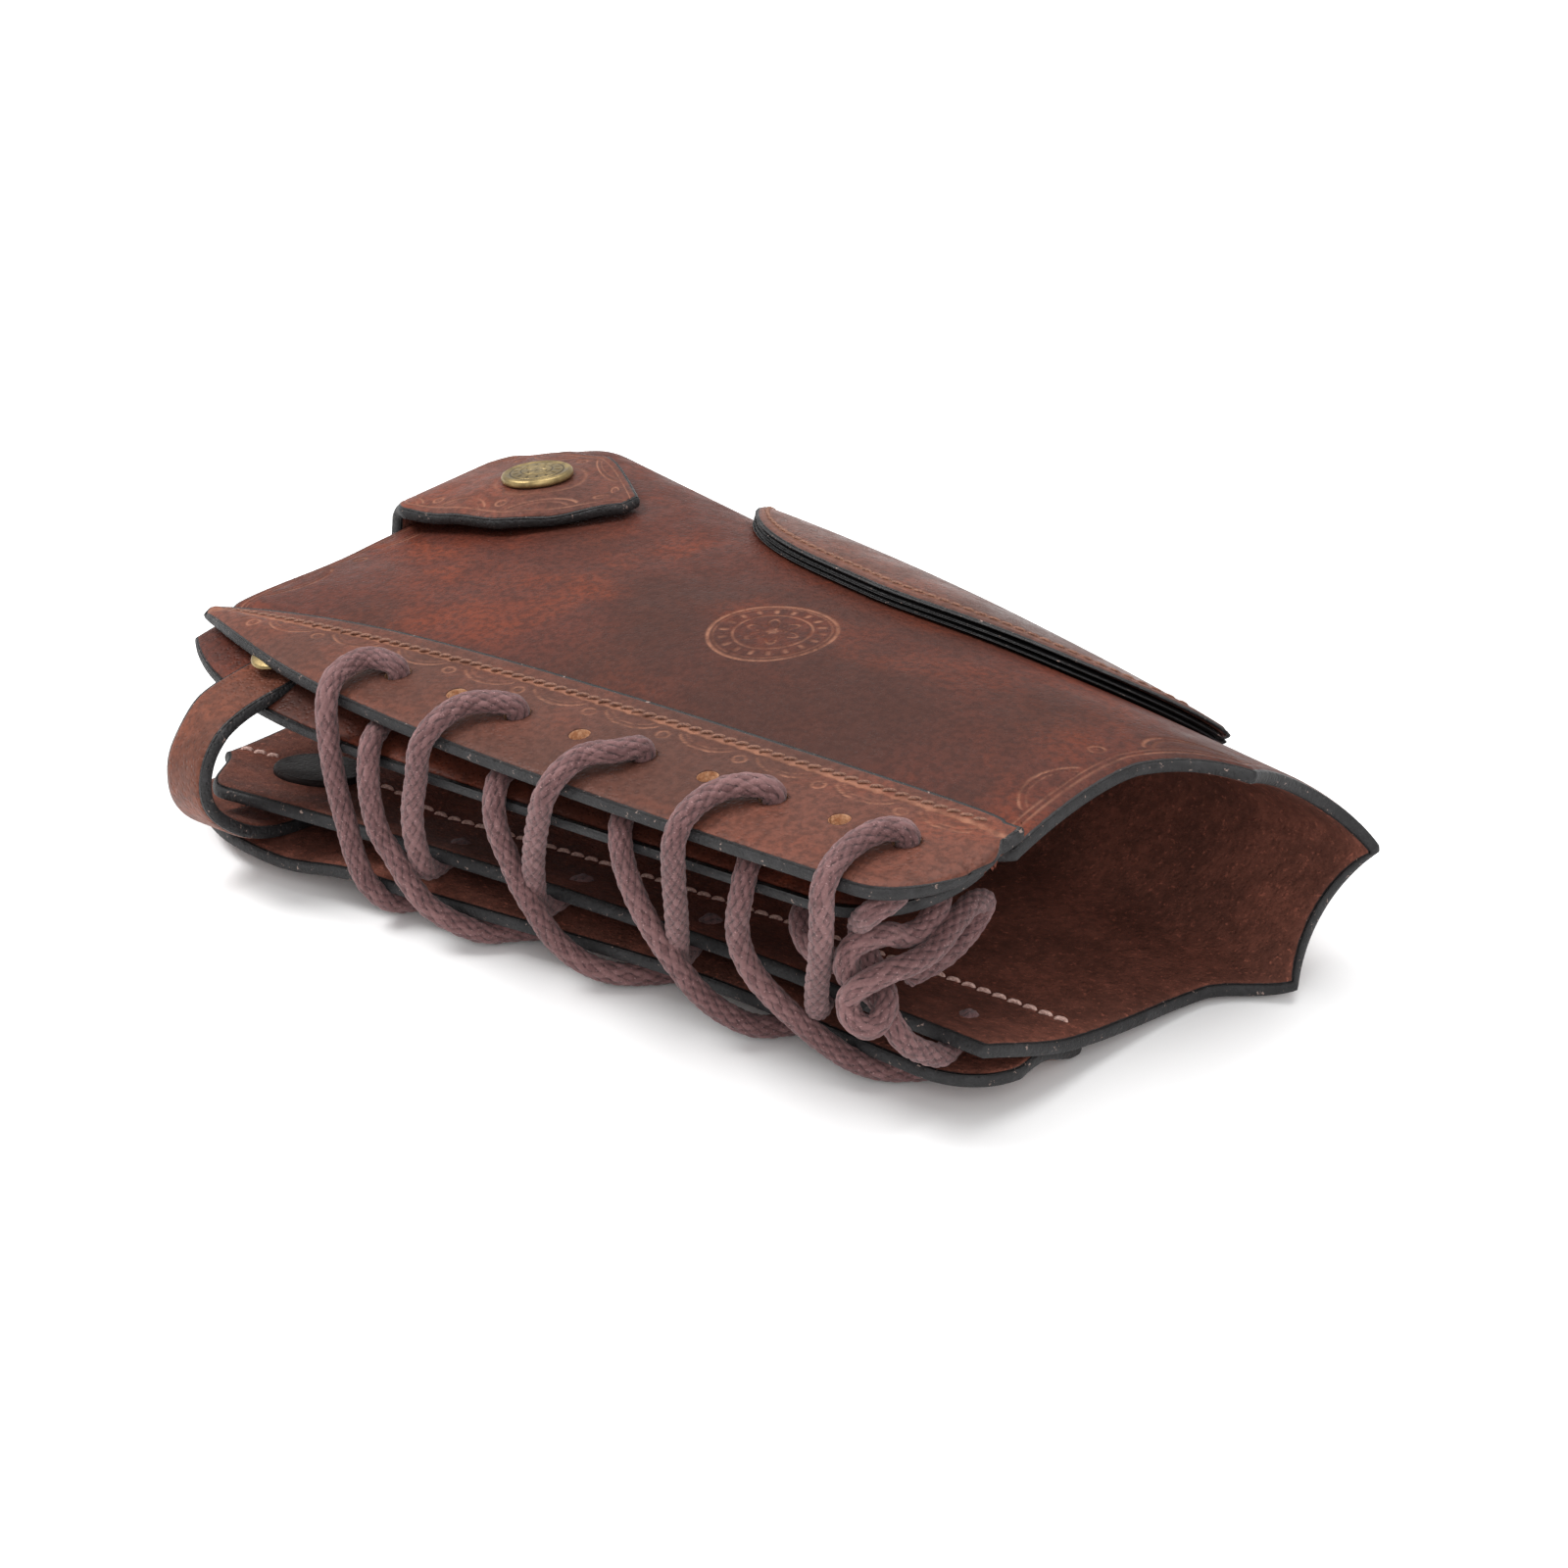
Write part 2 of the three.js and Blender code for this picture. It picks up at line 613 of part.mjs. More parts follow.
function heelSnap() {
  const axis = snapAxis();
  const inner = LEATHER / 2 + GAP;
  const capFoot = FLAP_LIFT + LEATHER / 2 + GAP;
  const cap = turned(
    [
      [0, -4.2],
      [1.3, -4.2],
      [1.3, 0],
      [CAP_R - 0.4, 0],
      [CAP_R, 0.5],
      [CAP_R, 1.1],
      [CAP_R - 0.7, 1.7],
      [CAP_R - 1.6, 1.75],
      [CAP_R - 2.1, 1.6],
      [0, 2.1],
    ],
    snapPlace(capFoot),
    axis,
  );
  const socket = turned(
    [
      [1.7, 2.1],
      [1.7, 1.5],
      [3.3, 1.2],
      [3.3, 0],
      [5.6, 0],
      [5.8, 0.4],
      [5.8, 1.7],
      [5.4, 2.1],
      [1.7, 2.1],
    ],
    snapPlace(LEATHER / 2 + 0.3),
    axis,
  );
  const stud = turned(
    [
      [0, -4.6],
      [1.3, -4.6],
      [1.3, 0],
      [5.2, 0],
      [2.4, 0.15],
      [2.4, 0.55],
      [2.6, 0.8],
      [2.3, 1.15],
      [0, 1.2],
    ],
    snapPlace(LEATHER / 2 + 0.08),
    axis,
  );
  const washer = turned(
    [
      [1.7, 0],
      [5.6, 0],
      [5.6, -0.8],
      [1.7, -0.8],
      [1.7, 0],
    ].reverse(),
    snapPlace(-inner - 0.3),
    axis,
  );
  return { cap, socket, stud, washer };
}

// Flat seat pressed into the panel around the snap.
function snapSeat() {
  const from = snapPlace(LEATHER / 2 - 0.02);
  return solid(bar(6.3, from, from.clone().addScaledVector(snapAxis(), 4), 20));
}

function buildPanel() {
  const body = solid(sheet(panelGrid, 20, 32, LEATHER));
  return cut(body, [
    cordRoom,
    cordSolid,
    snapSeat(),
    rivetHole(snapPlace(0), snapAxis(), 1.8),
    rivetHole(rivetTop(), rivetAxis(), 1.8, 9),
    rivetHole(lowerRivet(), lowerRivetAxis(), 1.8, 9),
  ]);
}

function stripSheet(upper, thickness) {
  const at = (u, v) => stripPoint(1 + u * (stripEnd(upper) - 1), upper ? 1 - v : v, upper);
  return solid(sheet(at, 22, 4, thickness));
}

// Room under the upper strip for the cap of the toe rivet.
function rivetRoom() {
  const from = rivetTop().addScaledVector(rivetAxis(), LEATHER);
  return solid(bar(5.5, from, from.clone().addScaledVector(rivetAxis(), 3.9), 20));
}

function buildStrip(upper) {
  const tools = [...holeTools(upper), panelRoom];
  return cut(stripSheet(upper, LEATHER), upper ? [...tools, rivetRoom()] : tools);
}

// A flat rectangular ring under the fixed end of the heel strap: the stitching and its groove.
function stitchRing(width, low, high) {
  const block = (grow) => {
    const box = new THREE.BoxGeometry(9 + grow, 26 + grow, high - low);
    return solid(box.translate(38, STRAP_Y, (low + high) / 2));
  };
  return block(width).subtract(block(-width));
}

function buildToeRivet(point, axis, radius) {
  return turned(
    [
      [0, -6.4],
      [1.3, -6.4],
      [1.3, 0],
      [radius - 0.2, 0],
      [radius, 0.3],
      [radius - 0.3, 0.8],
      [0, 1.1],
    ],
    point.clone().addScaledVector(axis, LEATHER * 1.5 + 0.9),
    axis,
  );
}

function buildDisc(point, axis, bore, radius, thickness) {
  const foot = -LEATHER / 2 - 0.5;
  return turned(
    [
      [bore, foot - thickness],
      [radius - 0.3, foot - thickness],
      [radius, foot - thickness + 0.3],
      [radius, foot],
      [bore, foot],
      [bore, foot - thickness],
    ],
    point,
    axis,
  );
}

const brown = 0x6b4032;
const edgeBrown = 0x2d2a2a;
const snap = heelSnap();
const toeHoles = [
  panelRoom,
  panelRoom.translate([0, -GAP, 0]),
  stripSheet(true, LEATHER + 2 * GAP),
  stripSheet(false, LEATHER + 2 * GAP),
  rivetHole(rivetTop(), rivetAxis(), 1.8, 14),
  rivetHole(lowerRivet(), lowerRivetAxis(), 1.8, 14),
];

add("main_panel", buildPanel(), leather(brown));
add("lacing_strip_upper", buildStrip(true), leather(0x734637));
add("lacing_strip_lower", buildStrip(false), leather(0x734637));
add("strip_thread_upper", seamThread(true), cotton(0x966e5a));
add("strip_thread_lower", seamThread(false), cotton(0x966e5a));
const padSheet = (offset, dome, thickness) => solid(sheet(padGrid(offset, dome), 16, 8, thickness));
const padInner = cut(padSheet(PAD_LAYERS[0], 0, PAD_LAYER), [panelRoom]);
add("cheek_pad_layer_inner", padInner, leather(edgeBrown));
const padOuter = cut(padSheet(PAD_LAYERS[1], 0.8, PAD_LAYER), [panelRoom]);
add("cheek_pad_layer_outer", padOuter, leather(edgeBrown));
add("cheek_pad_cover", padSheet(PAD_LAYERS[2], PAD_DOME, PAD_COVER), leather(brown));
add("cheek_pad_thread", solid(cord(padThreadPoints(), 0.5, 72, 2, true)), cotton(0x966e5a));
add(
  "heel_strap",
  cut(solid(sheet(strapGrid, 28, 2, LEATHER)), [stitchRing(1.7, -1, 1.3)]),
  leather(brown),
);
add("heel_strap_thread", stitchRing(0.9, 0.1, 0.9), cotton(0x966e5a));
add(
  "heel_flap",
  cut(solid(sheet(flapGrid, 26, 4, LEATHER)), [rivetHole(snapPlace(FLAP_LIFT), snapAxis(), 1.8, 9)]),
  leather(brown),
);
add("heel_snap_cap", solid(snap.cap), brass());
add("heel_snap_socket", solid(snap.socket), brass());
add("heel_snap_stud", solid(snap.stud), brass());
add("heel_snap_washer", solid(snap.washer), brass());
add("toe_strap", cut(solid(sheet(toeGrid, 30, 2, LEATHER)), toeHoles), leather(0x7a4632));
add("toe_rivet_upper", solid(buildToeRivet(rivetTop(), rivetAxis(), 5)), brass());
const hiddenRivet = lowerRivet().addScaledVector(lowerRivetAxis(), 1.6);
add("toe_rivet_lower", rivetHole(hiddenRivet, lowerRivetAxis(), 1.3, 6.2), brass());
add("toe_rivet_washer", solid(buildDisc(rivetTop(), rivetAxis(), 1.7, 5, 0.8)), brass());
const backingDisc = buildDisc(lowerRivet(), lowerRivetAxis(), 0, 9, 1.6);
add("toe_backing_disc", solid(backingDisc), leather(0x33211e));
add("lacing_cord", cordSolid, cotton(0x694e4e));

export default root;
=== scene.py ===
import math

import bpy
import numpy as np
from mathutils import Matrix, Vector


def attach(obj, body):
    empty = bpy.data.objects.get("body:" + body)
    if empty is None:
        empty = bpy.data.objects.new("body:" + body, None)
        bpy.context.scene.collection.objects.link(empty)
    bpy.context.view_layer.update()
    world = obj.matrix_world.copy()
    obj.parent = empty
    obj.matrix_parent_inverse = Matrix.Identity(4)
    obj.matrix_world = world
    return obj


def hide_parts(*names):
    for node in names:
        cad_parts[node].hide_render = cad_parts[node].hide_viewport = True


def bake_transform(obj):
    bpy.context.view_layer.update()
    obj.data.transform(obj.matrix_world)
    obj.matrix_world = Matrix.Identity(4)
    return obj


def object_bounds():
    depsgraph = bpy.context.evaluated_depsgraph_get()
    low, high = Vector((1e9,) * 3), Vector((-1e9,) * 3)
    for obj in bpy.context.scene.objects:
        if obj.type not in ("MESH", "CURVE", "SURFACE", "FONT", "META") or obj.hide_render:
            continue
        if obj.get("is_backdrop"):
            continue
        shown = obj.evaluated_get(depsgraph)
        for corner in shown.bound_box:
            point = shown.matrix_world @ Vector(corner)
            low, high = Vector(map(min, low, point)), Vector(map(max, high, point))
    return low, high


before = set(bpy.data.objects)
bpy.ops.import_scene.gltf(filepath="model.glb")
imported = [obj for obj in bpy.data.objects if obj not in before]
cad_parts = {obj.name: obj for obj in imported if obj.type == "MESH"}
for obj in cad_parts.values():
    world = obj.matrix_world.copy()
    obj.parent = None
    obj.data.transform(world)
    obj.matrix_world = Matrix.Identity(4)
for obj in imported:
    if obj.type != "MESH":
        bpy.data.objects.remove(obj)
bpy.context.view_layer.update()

# ------------------------------------------------------------------ sizes, millimetres
LEATHER = 3.0
ORIGIN = np.array([24.0, 73.0, 0.0])  # the frame's origin, under the heel strap, in the shape's own axes
BODY, FLAP = "sleeve", "heel_flap"

# heel strap: where it lies, its half width, what its neck loses, and the panel row under the flap
STRAP_Y, STRAP_HALF, STRAP_NECK, STRAP_K = 73.0, 18.5, 5.5, 2.35
# flap: places of its snap and tip, length of its point, height over the panel; radius of the brass cap
SNAP_X, FLAP_TIP, FLAP_POINT, FLAP_LIFT = 27.5, 50.5, 20.0, 5.7
CAP_R = 7.5

# cheek pad: ends and widest place along the sleeve, layer heights over the panel, their thicknesses,
# the cover's dome, and the distance of its seam from the border
PAD_START, PAD_PEAK, PAD_END = 63.0, 118.0, 186.0
PAD_OFFSETS, PAD_LAYER, PAD_COVER, PAD_DOME = (2.2, 3.3, 4.6), 0.9, 1.2, 2.4
PAD_SEAM_IN = 3.2

# lacing: radii of cord and holes, front ends of the strips (upper, lower) and their height over the panel
CORD_R = 2.1
HOLE_R, UNUSED_HOLE_R = 2.45, 1.9
STRIP_END = {True: 190.0, False: 193.5}
STRIP_LIFT = 3.5

# places on the panel: along the sleeve, and row across it
RIVET_X, RIVET_K = 29.0, 0.54
DISC_X, DISC_K = 27.0, 7.1
MEDALLION_X, MEDALLION_K = 112.4, 1.88


def clamp(t):
    return np.clip(t, 0.0, 1.0)


def ease(t):
    t = clamp(t)
    return t * t * (3 - 2 * t)


def round_off(t):
    return np.sqrt(1 - (1 - clamp(t)) ** 2)


def rise(x, length):
    return 1 - np.exp(-x / length)


def unit(v):
    return v / np.maximum(np.linalg.norm(v, axis=-1, keepdims=True), 1e-9)


def spline(points, t):
    """Centripetal Catmull-Rom curve. points (..., n, 3), t (...) from 0 to n - 1."""
    n = points.shape[-2]
    first = 2 * points[..., :1, :] - points[..., 1:2, :]
    last = 2 * points[..., -1:, :] - points[..., -2:-1, :]
    p = np.concatenate([first, points, last], axis=-2)
    i = np.clip(np.floor(t).astype(int), 0, n - 2)
    f = (t - i)[..., None]
    pick = lambda k: np.take_along_axis(p, (i + k)[..., None, None], axis=-2)[..., 0, :]
    p0, p1, p2, p3 = pick(0), pick(1), pick(2), pick(3)
    gap = lambda a, b: np.maximum(np.linalg.norm(b - a, axis=-1, keepdims=True), 1e-6) ** 0.5
    d0, d1, d2 = gap(p0, p1), gap(p1, p2), gap(p2, p3)
    m1 = ((p1 - p0) / d0 - (p2 - p0) / (d0 + d1) + (p2 - p1) / d1) * d1
    m2 = ((p2 - p1) / d1 - (p3 - p1) / (d1 + d2) + (p3 - p2) / d2) * d1
    a = 2 * p1 - 2 * p2 + m1 + m2
    b = -3 * p1 + 3 * p2 - 2 * m1 - m2
    return ((a * f + b) * f + m1) * f + p1


def curve(points, count):
    """Evenly spaced points along a curve through the control points."""
    points = np.array(points, float)
    n = len(points)
    t = np.linspace(0, n - 1, 40 * n)
    fine = spline(np.broadcast_to(points, (len(t), n, 3)), t)
    run = np.concatenate([[0], np.cumsum(np.linalg.norm(np.diff(fine, axis=0), axis=1))])
    s = np.linspace(0, run[-1], count)
    return np.stack([np.interp(s, run, fine[:, c]) for c in range(3)], axis=1), run[-1]


def stack(x, y, z):
    x, y, z = np.broadcast_arrays(x, y, z)
    return np.stack([x, y, z], axis=-1).astype(float)


# ------------------------------------------------------------------ main panel shape
def upper_seam_y(x):
    return 4.4 - 0.058 * x


def lower_seam_y(x):
    return 2 + 0.13 * x - 0.0005 * x * x


def toe_rise(x):
    return 3.4 * (1 - ease((x - 36) / 20))


def section(x):
    """The panel's outline across x: rows 0 and 8 are its free edges, 1 and 7 the strip seams, 4 the comb."""
    x = np.asarray(x, float)
    comb = 131 - 0.2936 * x
    upper, lower = upper_seam_y(x), lower_seam_y(x)
    lower_z = 5.4 + toe_rise(x)
    top = (1 - np.exp(-(x + 5) / 19)) * (0.08 + 0.92 * round_off((186.5 - x) / 22))
    low = (0.1 + 0.9 * ease((x - 3) / 20)) * (1 + 0.08 * ease((x - 140) / 40)) * round_off((208 - x) / 17)
    seam_z = 34 + 11.5 * rise(x, 60)
    lift = 4.4 * (1 - ease((x - 45) / 110))
    crown = 36.3 + 15 * rise(x, 55) - 3.5 * ease((x - 140) / 70)
    rows = [
        stack(x, upper - 22.5 * top, seam_z + (30.6 + 0.04 * x - seam_z) * top),
        stack(x, upper, seam_z),
        stack(x, upper + 0.42 * (comb - upper), crown),
        stack(x, comb - 15 - 0.075 * x, 41.2 + 0.0235 * x - 4.6 * (1 - ease(x / 20))),
        stack(x, comb, 18 + 0.028 * x),
        stack(x, comb - 14 - 0.02 * x, 2.4 + lift),
        stack(x, 0.5 * (comb + lower), 1.7 + lift),
        stack(x, lower, lower_z),
        stack(x, lower - 24.5 * low, lower_z + (14.6 - 0.006 * x - lower_z) * low),
    ]
    return np.stack(rows, axis=-2)


def panel_point(x, k):
    x, k = np.broadcast_arrays(np.asarray(x, float), np.asarray(k, float))
    p = spline(section(x), k)
    p[..., 2] += 2.2 * (1 - ease(x / 50)) * ease((k - 1.06) / 0.12) * (1 - ease((k - 1.18) / 0.6))
    p[..., 2] -= (1 - ease((x - 26) / 38)) * np.exp(-(((k - 2.5) / 0.33) ** 2))
    return p


def surface_normal(point, a, b, da=0.1, db=0.02, low=0.0, high=8.0):
    across = point(a, np.minimum(high, b + db)) - point(a, np.maximum(low, b - db))
    return unit(np.cross(point(a + da, b) - point(a - da, b), across))


def panel_normal(x, k):
    return surface_normal(panel_point, np.asarray(x, float), np.asarray(k, float))


def panel_offset(x, k, distance):
    return panel_point(x, k) + panel_normal(x, k) * np.asarray(distance)[..., None]


def panel_spot(x, k):
    """One place on the panel and the outward direction there."""
    return panel_point(x, k), panel_normal(x, k)


# scalloped mouth: panel row, length there, and depth of the scallop up to the next row
MOUTH = [
    (0, 186.2, 0), (1, 189.5, -6), (3, 209, -5), (4, 221, -5), (5, 215, -3), (7, 196.5, 1), (8, 191.5, 0),
]


def mouth_x(k):
    k = np.asarray(k, float)
    out = np.zeros_like(k)
    for (k0, x0, depth), (k1, x1, _) in zip(MOUTH, MOUTH[1:]):
        t = (k - k0) / (k1 - k0)
        here = (k >= k0) & (k <= k1)
        out = np.where(here, x0 + (x1 - x0) * t + depth * np.sin(np.pi * clamp(t)), out)
    return out


# ------------------------------------------------------------------ lacing strip shape
def strip_controls(x, upper):
    x = np.asarray(x, float)
    seam, inward = (1.0, 0.09) if upper else (7.0, -0.09)
    side = STRIP_LIFT + (0 if upper else toe_rise(x))
    a, b = panel_offset(x, seam + inward, side), panel_offset(x, seam, side)
    full = 2 + 25 * rise(x, 45) if upper else 1 + 26.5 * rise(x, 14) - 3 * np.exp(-(((x - 130) / 38) ** 2))
    tip = 0.08 if upper else 0.5
    width = full * (tip + (1 - tip) * round_off((STRIP_END[upper] + 0.5 - x) / 15))
    edge_z = 39.8 + 0.035 * x if upper else 6.5 - 0.7 * toe_rise(x)
    edge_y = b[..., 1] - width
    edge_z = b[..., 2] + (edge_z - b[..., 2]) * clamp(width / 14)
    edge = stack(x, edge_y, edge_z)
    middle = (b + edge) / 2
    middle[..., 2] += 0.8 if upper else 1.8 - 0.4 * toe_rise(x)
    middle[..., 0] = x
    return np.stack([a, b, middle, edge], axis=-2)


def strip_point(x, w, upper):
    x, w = np.broadcast_arrays(np.asarray(x, float), np.asarray(w, float))
    return spline(strip_controls(x, upper), 3 * w)


def hole_frame(i, upper):
    """Middle of lacing hole 1 to 9, counted from the butt end, and the outward direction there."""
    x = 60.6 + 15.7 * (i - 1) - 0.145 * (i - 1) ** 2 if upper else 69 + 13.9 * (i - 1)
    w = 0.66
    p = strip_point(x, w, upper)
    along = strip_point(x + 0.1, w, upper) - strip_point(x - 0.1, w, upper)
    across = strip_point(x, w + 0.02, upper) - strip_point(x, w - 0.02, upper)
    n = unit(np.cross(along, across))
    if (n[2] < 0) == upper:
        n = -n
    return p, n


# ------------------------------------------------------------------ mesh making
EDGE_ROUND = 0.35


def add_object(name, verts, faces, material, attributes=None):
    """faces: a list of (m, 3) or (m, 4) integer arrays. Vertices are in millimetres."""
    mesh = bpy.data.meshes.new(name)
    verts = (np.asarray(verts, float) - ORIGIN) / 1000
    faces = [np.asarray(f, np.int32) for f in faces if len(f)]
    loops = np.concatenate([f.ravel() for f in faces])
    counts = np.concatenate([np.full(len(f), f.shape[1]) for f in faces])
    starts = np.concatenate([[0], np.cumsum(counts)[:-1]])
    mesh.vertices.add(len(verts))
    mesh.vertices.foreach_set("co", verts.astype(np.float32).ravel())
    mesh.loops.add(len(loops))
    mesh.loops.foreach_set("vertex_index", loops.astype(np.int32))
    mesh.polygons.add(len(counts))
    mesh.polygons.foreach_set("loop_start", starts.astype(np.int32))
    mesh.polygons.foreach_set("loop_total", counts.astype(np.int32))
    mesh.update(calc_edges=True)
    mesh.validate()
    for key, values in (attributes or {}).items():
        layer = mesh.attributes.new(key, "FLOAT", "POINT")
        layer.data.foreach_set("value", np.asarray(values, np.float32))
    mesh.polygons.foreach_set("use_smooth", np.full(len(mesh.polygons), True))
    mesh.materials.append(material)
    obj = bpy.data.objects.new(name, mesh)
    bpy.context.collection.objects.link(obj)
    return obj


def run_lengths(points, axis):
    step = np.linalg.norm(np.diff(points, axis=axis), axis=-1)
    zero = np.zeros_like(np.take(step, [0], axis=axis))
    return np.concatenate([zero, np.cumsum(step, axis=axis)], axis=axis)


def cut_holes(mid, holes):
    """Drops the cells inside each hole and moves their border onto the hole's circle."""
    nu, nv = mid.shape[:2]
    keep = np.ones((nu - 1, nv - 1), bool)
    for centre, radius in holes:
        middle = (mid[:-1, :-1] + mid[1:, :-1] + mid[:-1, 1:] + mid[1:, 1:]) / 4
        inside = np.linalg.norm(middle - centre, axis=-1) < radius
        keep &= ~inside
        touch = np.zeros((nu, nv), bool)
        away = np.zeros((nu, nv), bool)
        for du in (0, 1):
            for dv in (0, 1):
                touch[du:nu - 1 + du, dv:nv - 1 + dv] |= inside
                away[du:nu - 1 + du, dv:nv - 1 + dv] |= ~inside
        ring = touch & away
        mid[ring] = centre + unit(mid[ring] - centre) * radius
    return keep


def rim_rows(mid, normal, index, thickness, bulge):
    """The grid's border as vertex numbers, and the rows of points that round its edge off."""
    loop = np.concatenate([index[0, :-1], index[:-1, -1], index[-1, :0:-1], index[:0:-1, 0]])
    inner = np.concatenate([index[1, :-1], index[:-1, -2], index[-2, :0:-1], index[:0:-1, 1]])
    border, n = mid.reshape(-1, 3)[loop], normal.reshape(-1, 3)[loop]
    out = unit(np.cross(n, unit(np.roll(border, -1, 0) - np.roll(border, 1, 0))))
    if np.mean(np.sum(out * (border - mid.reshape(-1, 3)[inner]), axis=1)) < 0:
        out = -out
    half = thickness / 2 - EDGE_ROUND
    angles = [math.pi * m / 6 for m in range(1, 6)]
    return loop, [border + n * half * math.cos(a) + out * bulge * math.sin(a) for a in angles]


def hole_walls(keep, index, top, low, start, base):
    """Walls round each hole, between the two faces: rows of new points, and quads."""
    gone = np.zeros((index.shape[0] + 1, index.shape[1] + 1), bool)
    gone[1:-1, 1:-1] = ~keep
    pairs = []
    for i, j in np.argwhere(~keep):
        sides = ((-1, 0, (i, j), (i, j + 1)), (1, 0, (i + 1, j + 1), (i + 1, j)),
                 (0, -1, (i + 1, j), (i, j)), (0, 1, (i, j + 1), (i + 1, j + 1)))
        for di, dj, a, b in sides:
            if not gone[i + 1 + di, j + 1 + dj]:
                pairs.append((index[a], index[b]))
    border = sorted({v for pair in pairs for v in pair})
    place = {v: n for n, v in enumerate(border)}
    upper, lower = top.reshape(-1, 3)[border], low.reshape(-1, 3)[border]
    rows = [upper + (lower - upper) * t for t in (0.12, 0.88)]
    chain = lambda v: [v, start + place[v], start + len(border) + place[v], v + base]
    quads = []
    for a, b in pairs:
        one, two = chain(a), chain(b)
        for m in range(3):
            quads.append([one[m], two[m], two[m + 1], one[m + 1]])
    return rows, np.array(quads)[:, ::-1]


def leather_sheet(name, mid, normal, material, thickness=LEATHER, relief=None, holes=(), bulge=0.55,
                  turned=False):
    """A leather piece from a grid of middle points: smooth faces, rounded dyed edges, raw hole walls."""
    nu, nv = mid.shape[:2]
    mid = mid.copy()
    keep = cut_holes(mid, holes)
    along, across = run_lengths(mid, 0), run_lengths(mid, 1)
    reach = np.minimum(np.minimum(along, along[-1:] - along), np.minimum(across, across[:, -1:] - across))
    depth = np.zeros((nu, nv)) if relief is None else relief
    edge_round = EDGE_ROUND * np.exp(-((reach / 0.8) ** 2))
    top = mid + normal * (thickness / 2 - depth - edge_round)[..., None]
    low = mid - normal * (thickness / 2 - edge_round)[..., None]
    index = np.arange(nu * nv).reshape(nu, nv)
    base = nu * nv
    quads = np.stack([index[:-1, :-1], index[1:, :-1], index[1:, 1:], index[:-1, 1:]], axis=-1)[keep]
    faces = [quads, quads[:, ::-1] + base]
    loop, rim = rim_rows(mid, normal, index, thickness, bulge)
    first, size = 2 * base, len(loop)
    rings = [loop] + [first + size * m + np.arange(size) for m in range(len(rim))] + [loop + base]
    for a, b in zip(rings, rings[1:]):
        faces.append(np.stack([a, b, np.roll(b, -1), np.roll(a, -1)], axis=-1))
    start = first + size * len(rim)
    walls = []
    if not keep.all():
        walls, wall_faces = hole_walls(keep, index, top, low, start, base)
        faces.append(wall_faces)
    verts = np.concatenate([top.reshape(-1, 3), low.reshape(-1, 3)] + rim + walls)
    edge, flesh, tool, raw = np.zeros((4, len(verts)))
    near = np.exp(-((reach / 0.55) ** 2)).ravel()
    edge[:base] = near
    edge[base:first] = near
    edge[first:start] = 1
    flesh[base:first] = 1
    flesh[first:start] = 0.5
    tool[:base] = depth.ravel()
    raw[start:] = 1
    if turned:
        faces = [f[:, ::-1] for f in faces]
    return add_object(name, verts, faces, material, {"edge": edge, "flesh": flesh, "tool": tool, "raw": raw})


def round_faces(rows, around):
    """Faces of a body made of rings; the last two vertices are the middles of its ends."""
    index = np.arange(rows * around).reshape(rows, around)
    after = np.roll(index, -1, axis=1)
    quads = np.stack([index[:-1], after[:-1], after[1:], index[1:]], axis=-1).reshape(-1, 4)
    start = np.stack([after[0], index[0], np.full(around, index.size)], axis=-1)
    end = np.stack([index[-1], after[-1], np.full(around, index.size + 1)], axis=-1)
    return [quads, start, end]


def tube(path, radius, around, height=0.0):
    """A round cord along a path. height (points, around) lifts its surface."""
    path = np.asarray(path, float)
    n = len(path)
    tangent = unit(np.gradient(path, axis=0))
    normals = np.zeros_like(path)
    v = np.cross(tangent[0], [0.0, 0.0, 1.0])
    if np.linalg.norm(v) < 1e-3:
        v = np.cross(tangent[0], [1.0, 0.0, 0.0])
    for i in range(n):
        v = v - tangent[i] * np.dot(v, tangent[i])
        v = v / np.linalg.norm(v)
        normals[i] = v
    side = np.cross(tangent, normals)
    angle = np.arange(around) * 2 * math.pi / around
    ring = normals[:, None] * np.cos(angle)[None, :, None] + side[:, None] * np.sin(angle)[None, :, None]
    reach = np.full((n, around), radius) + height
    verts = (path[:, None] + ring * reach[..., None]).reshape(-1, 3)
    ends = [path[:1] - tangent[:1] * radius * 0.5, path[-1:] + tangent[-1:] * radius * 0.5]
    return np.concatenate([verts] + ends), round_faces(n, around)


def join(parts):
    verts, faces, start = [], [], 0
    for v, f in parts:
        verts.append(v)
        faces += [a + start for a in f]
        start += len(v)
    return np.concatenate(verts), faces


def settle(obj, node, body=BODY):
    """The piece stands in for a CAD node and rides on its body."""
    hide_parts(node)
    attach(obj, body)


# ------------------------------------------------------------------ materials
def shade(colour, factor):
    return srgb(*[min(255, c * factor) for c in colour])


def srgb(r, g, b):
    def one(c):
        c /= 255
        return c / 12.92 if c <= 0.04045 else ((c + 0.055) / 1.055) ** 2.4
    return (one(r), one(g), one(b), 1)


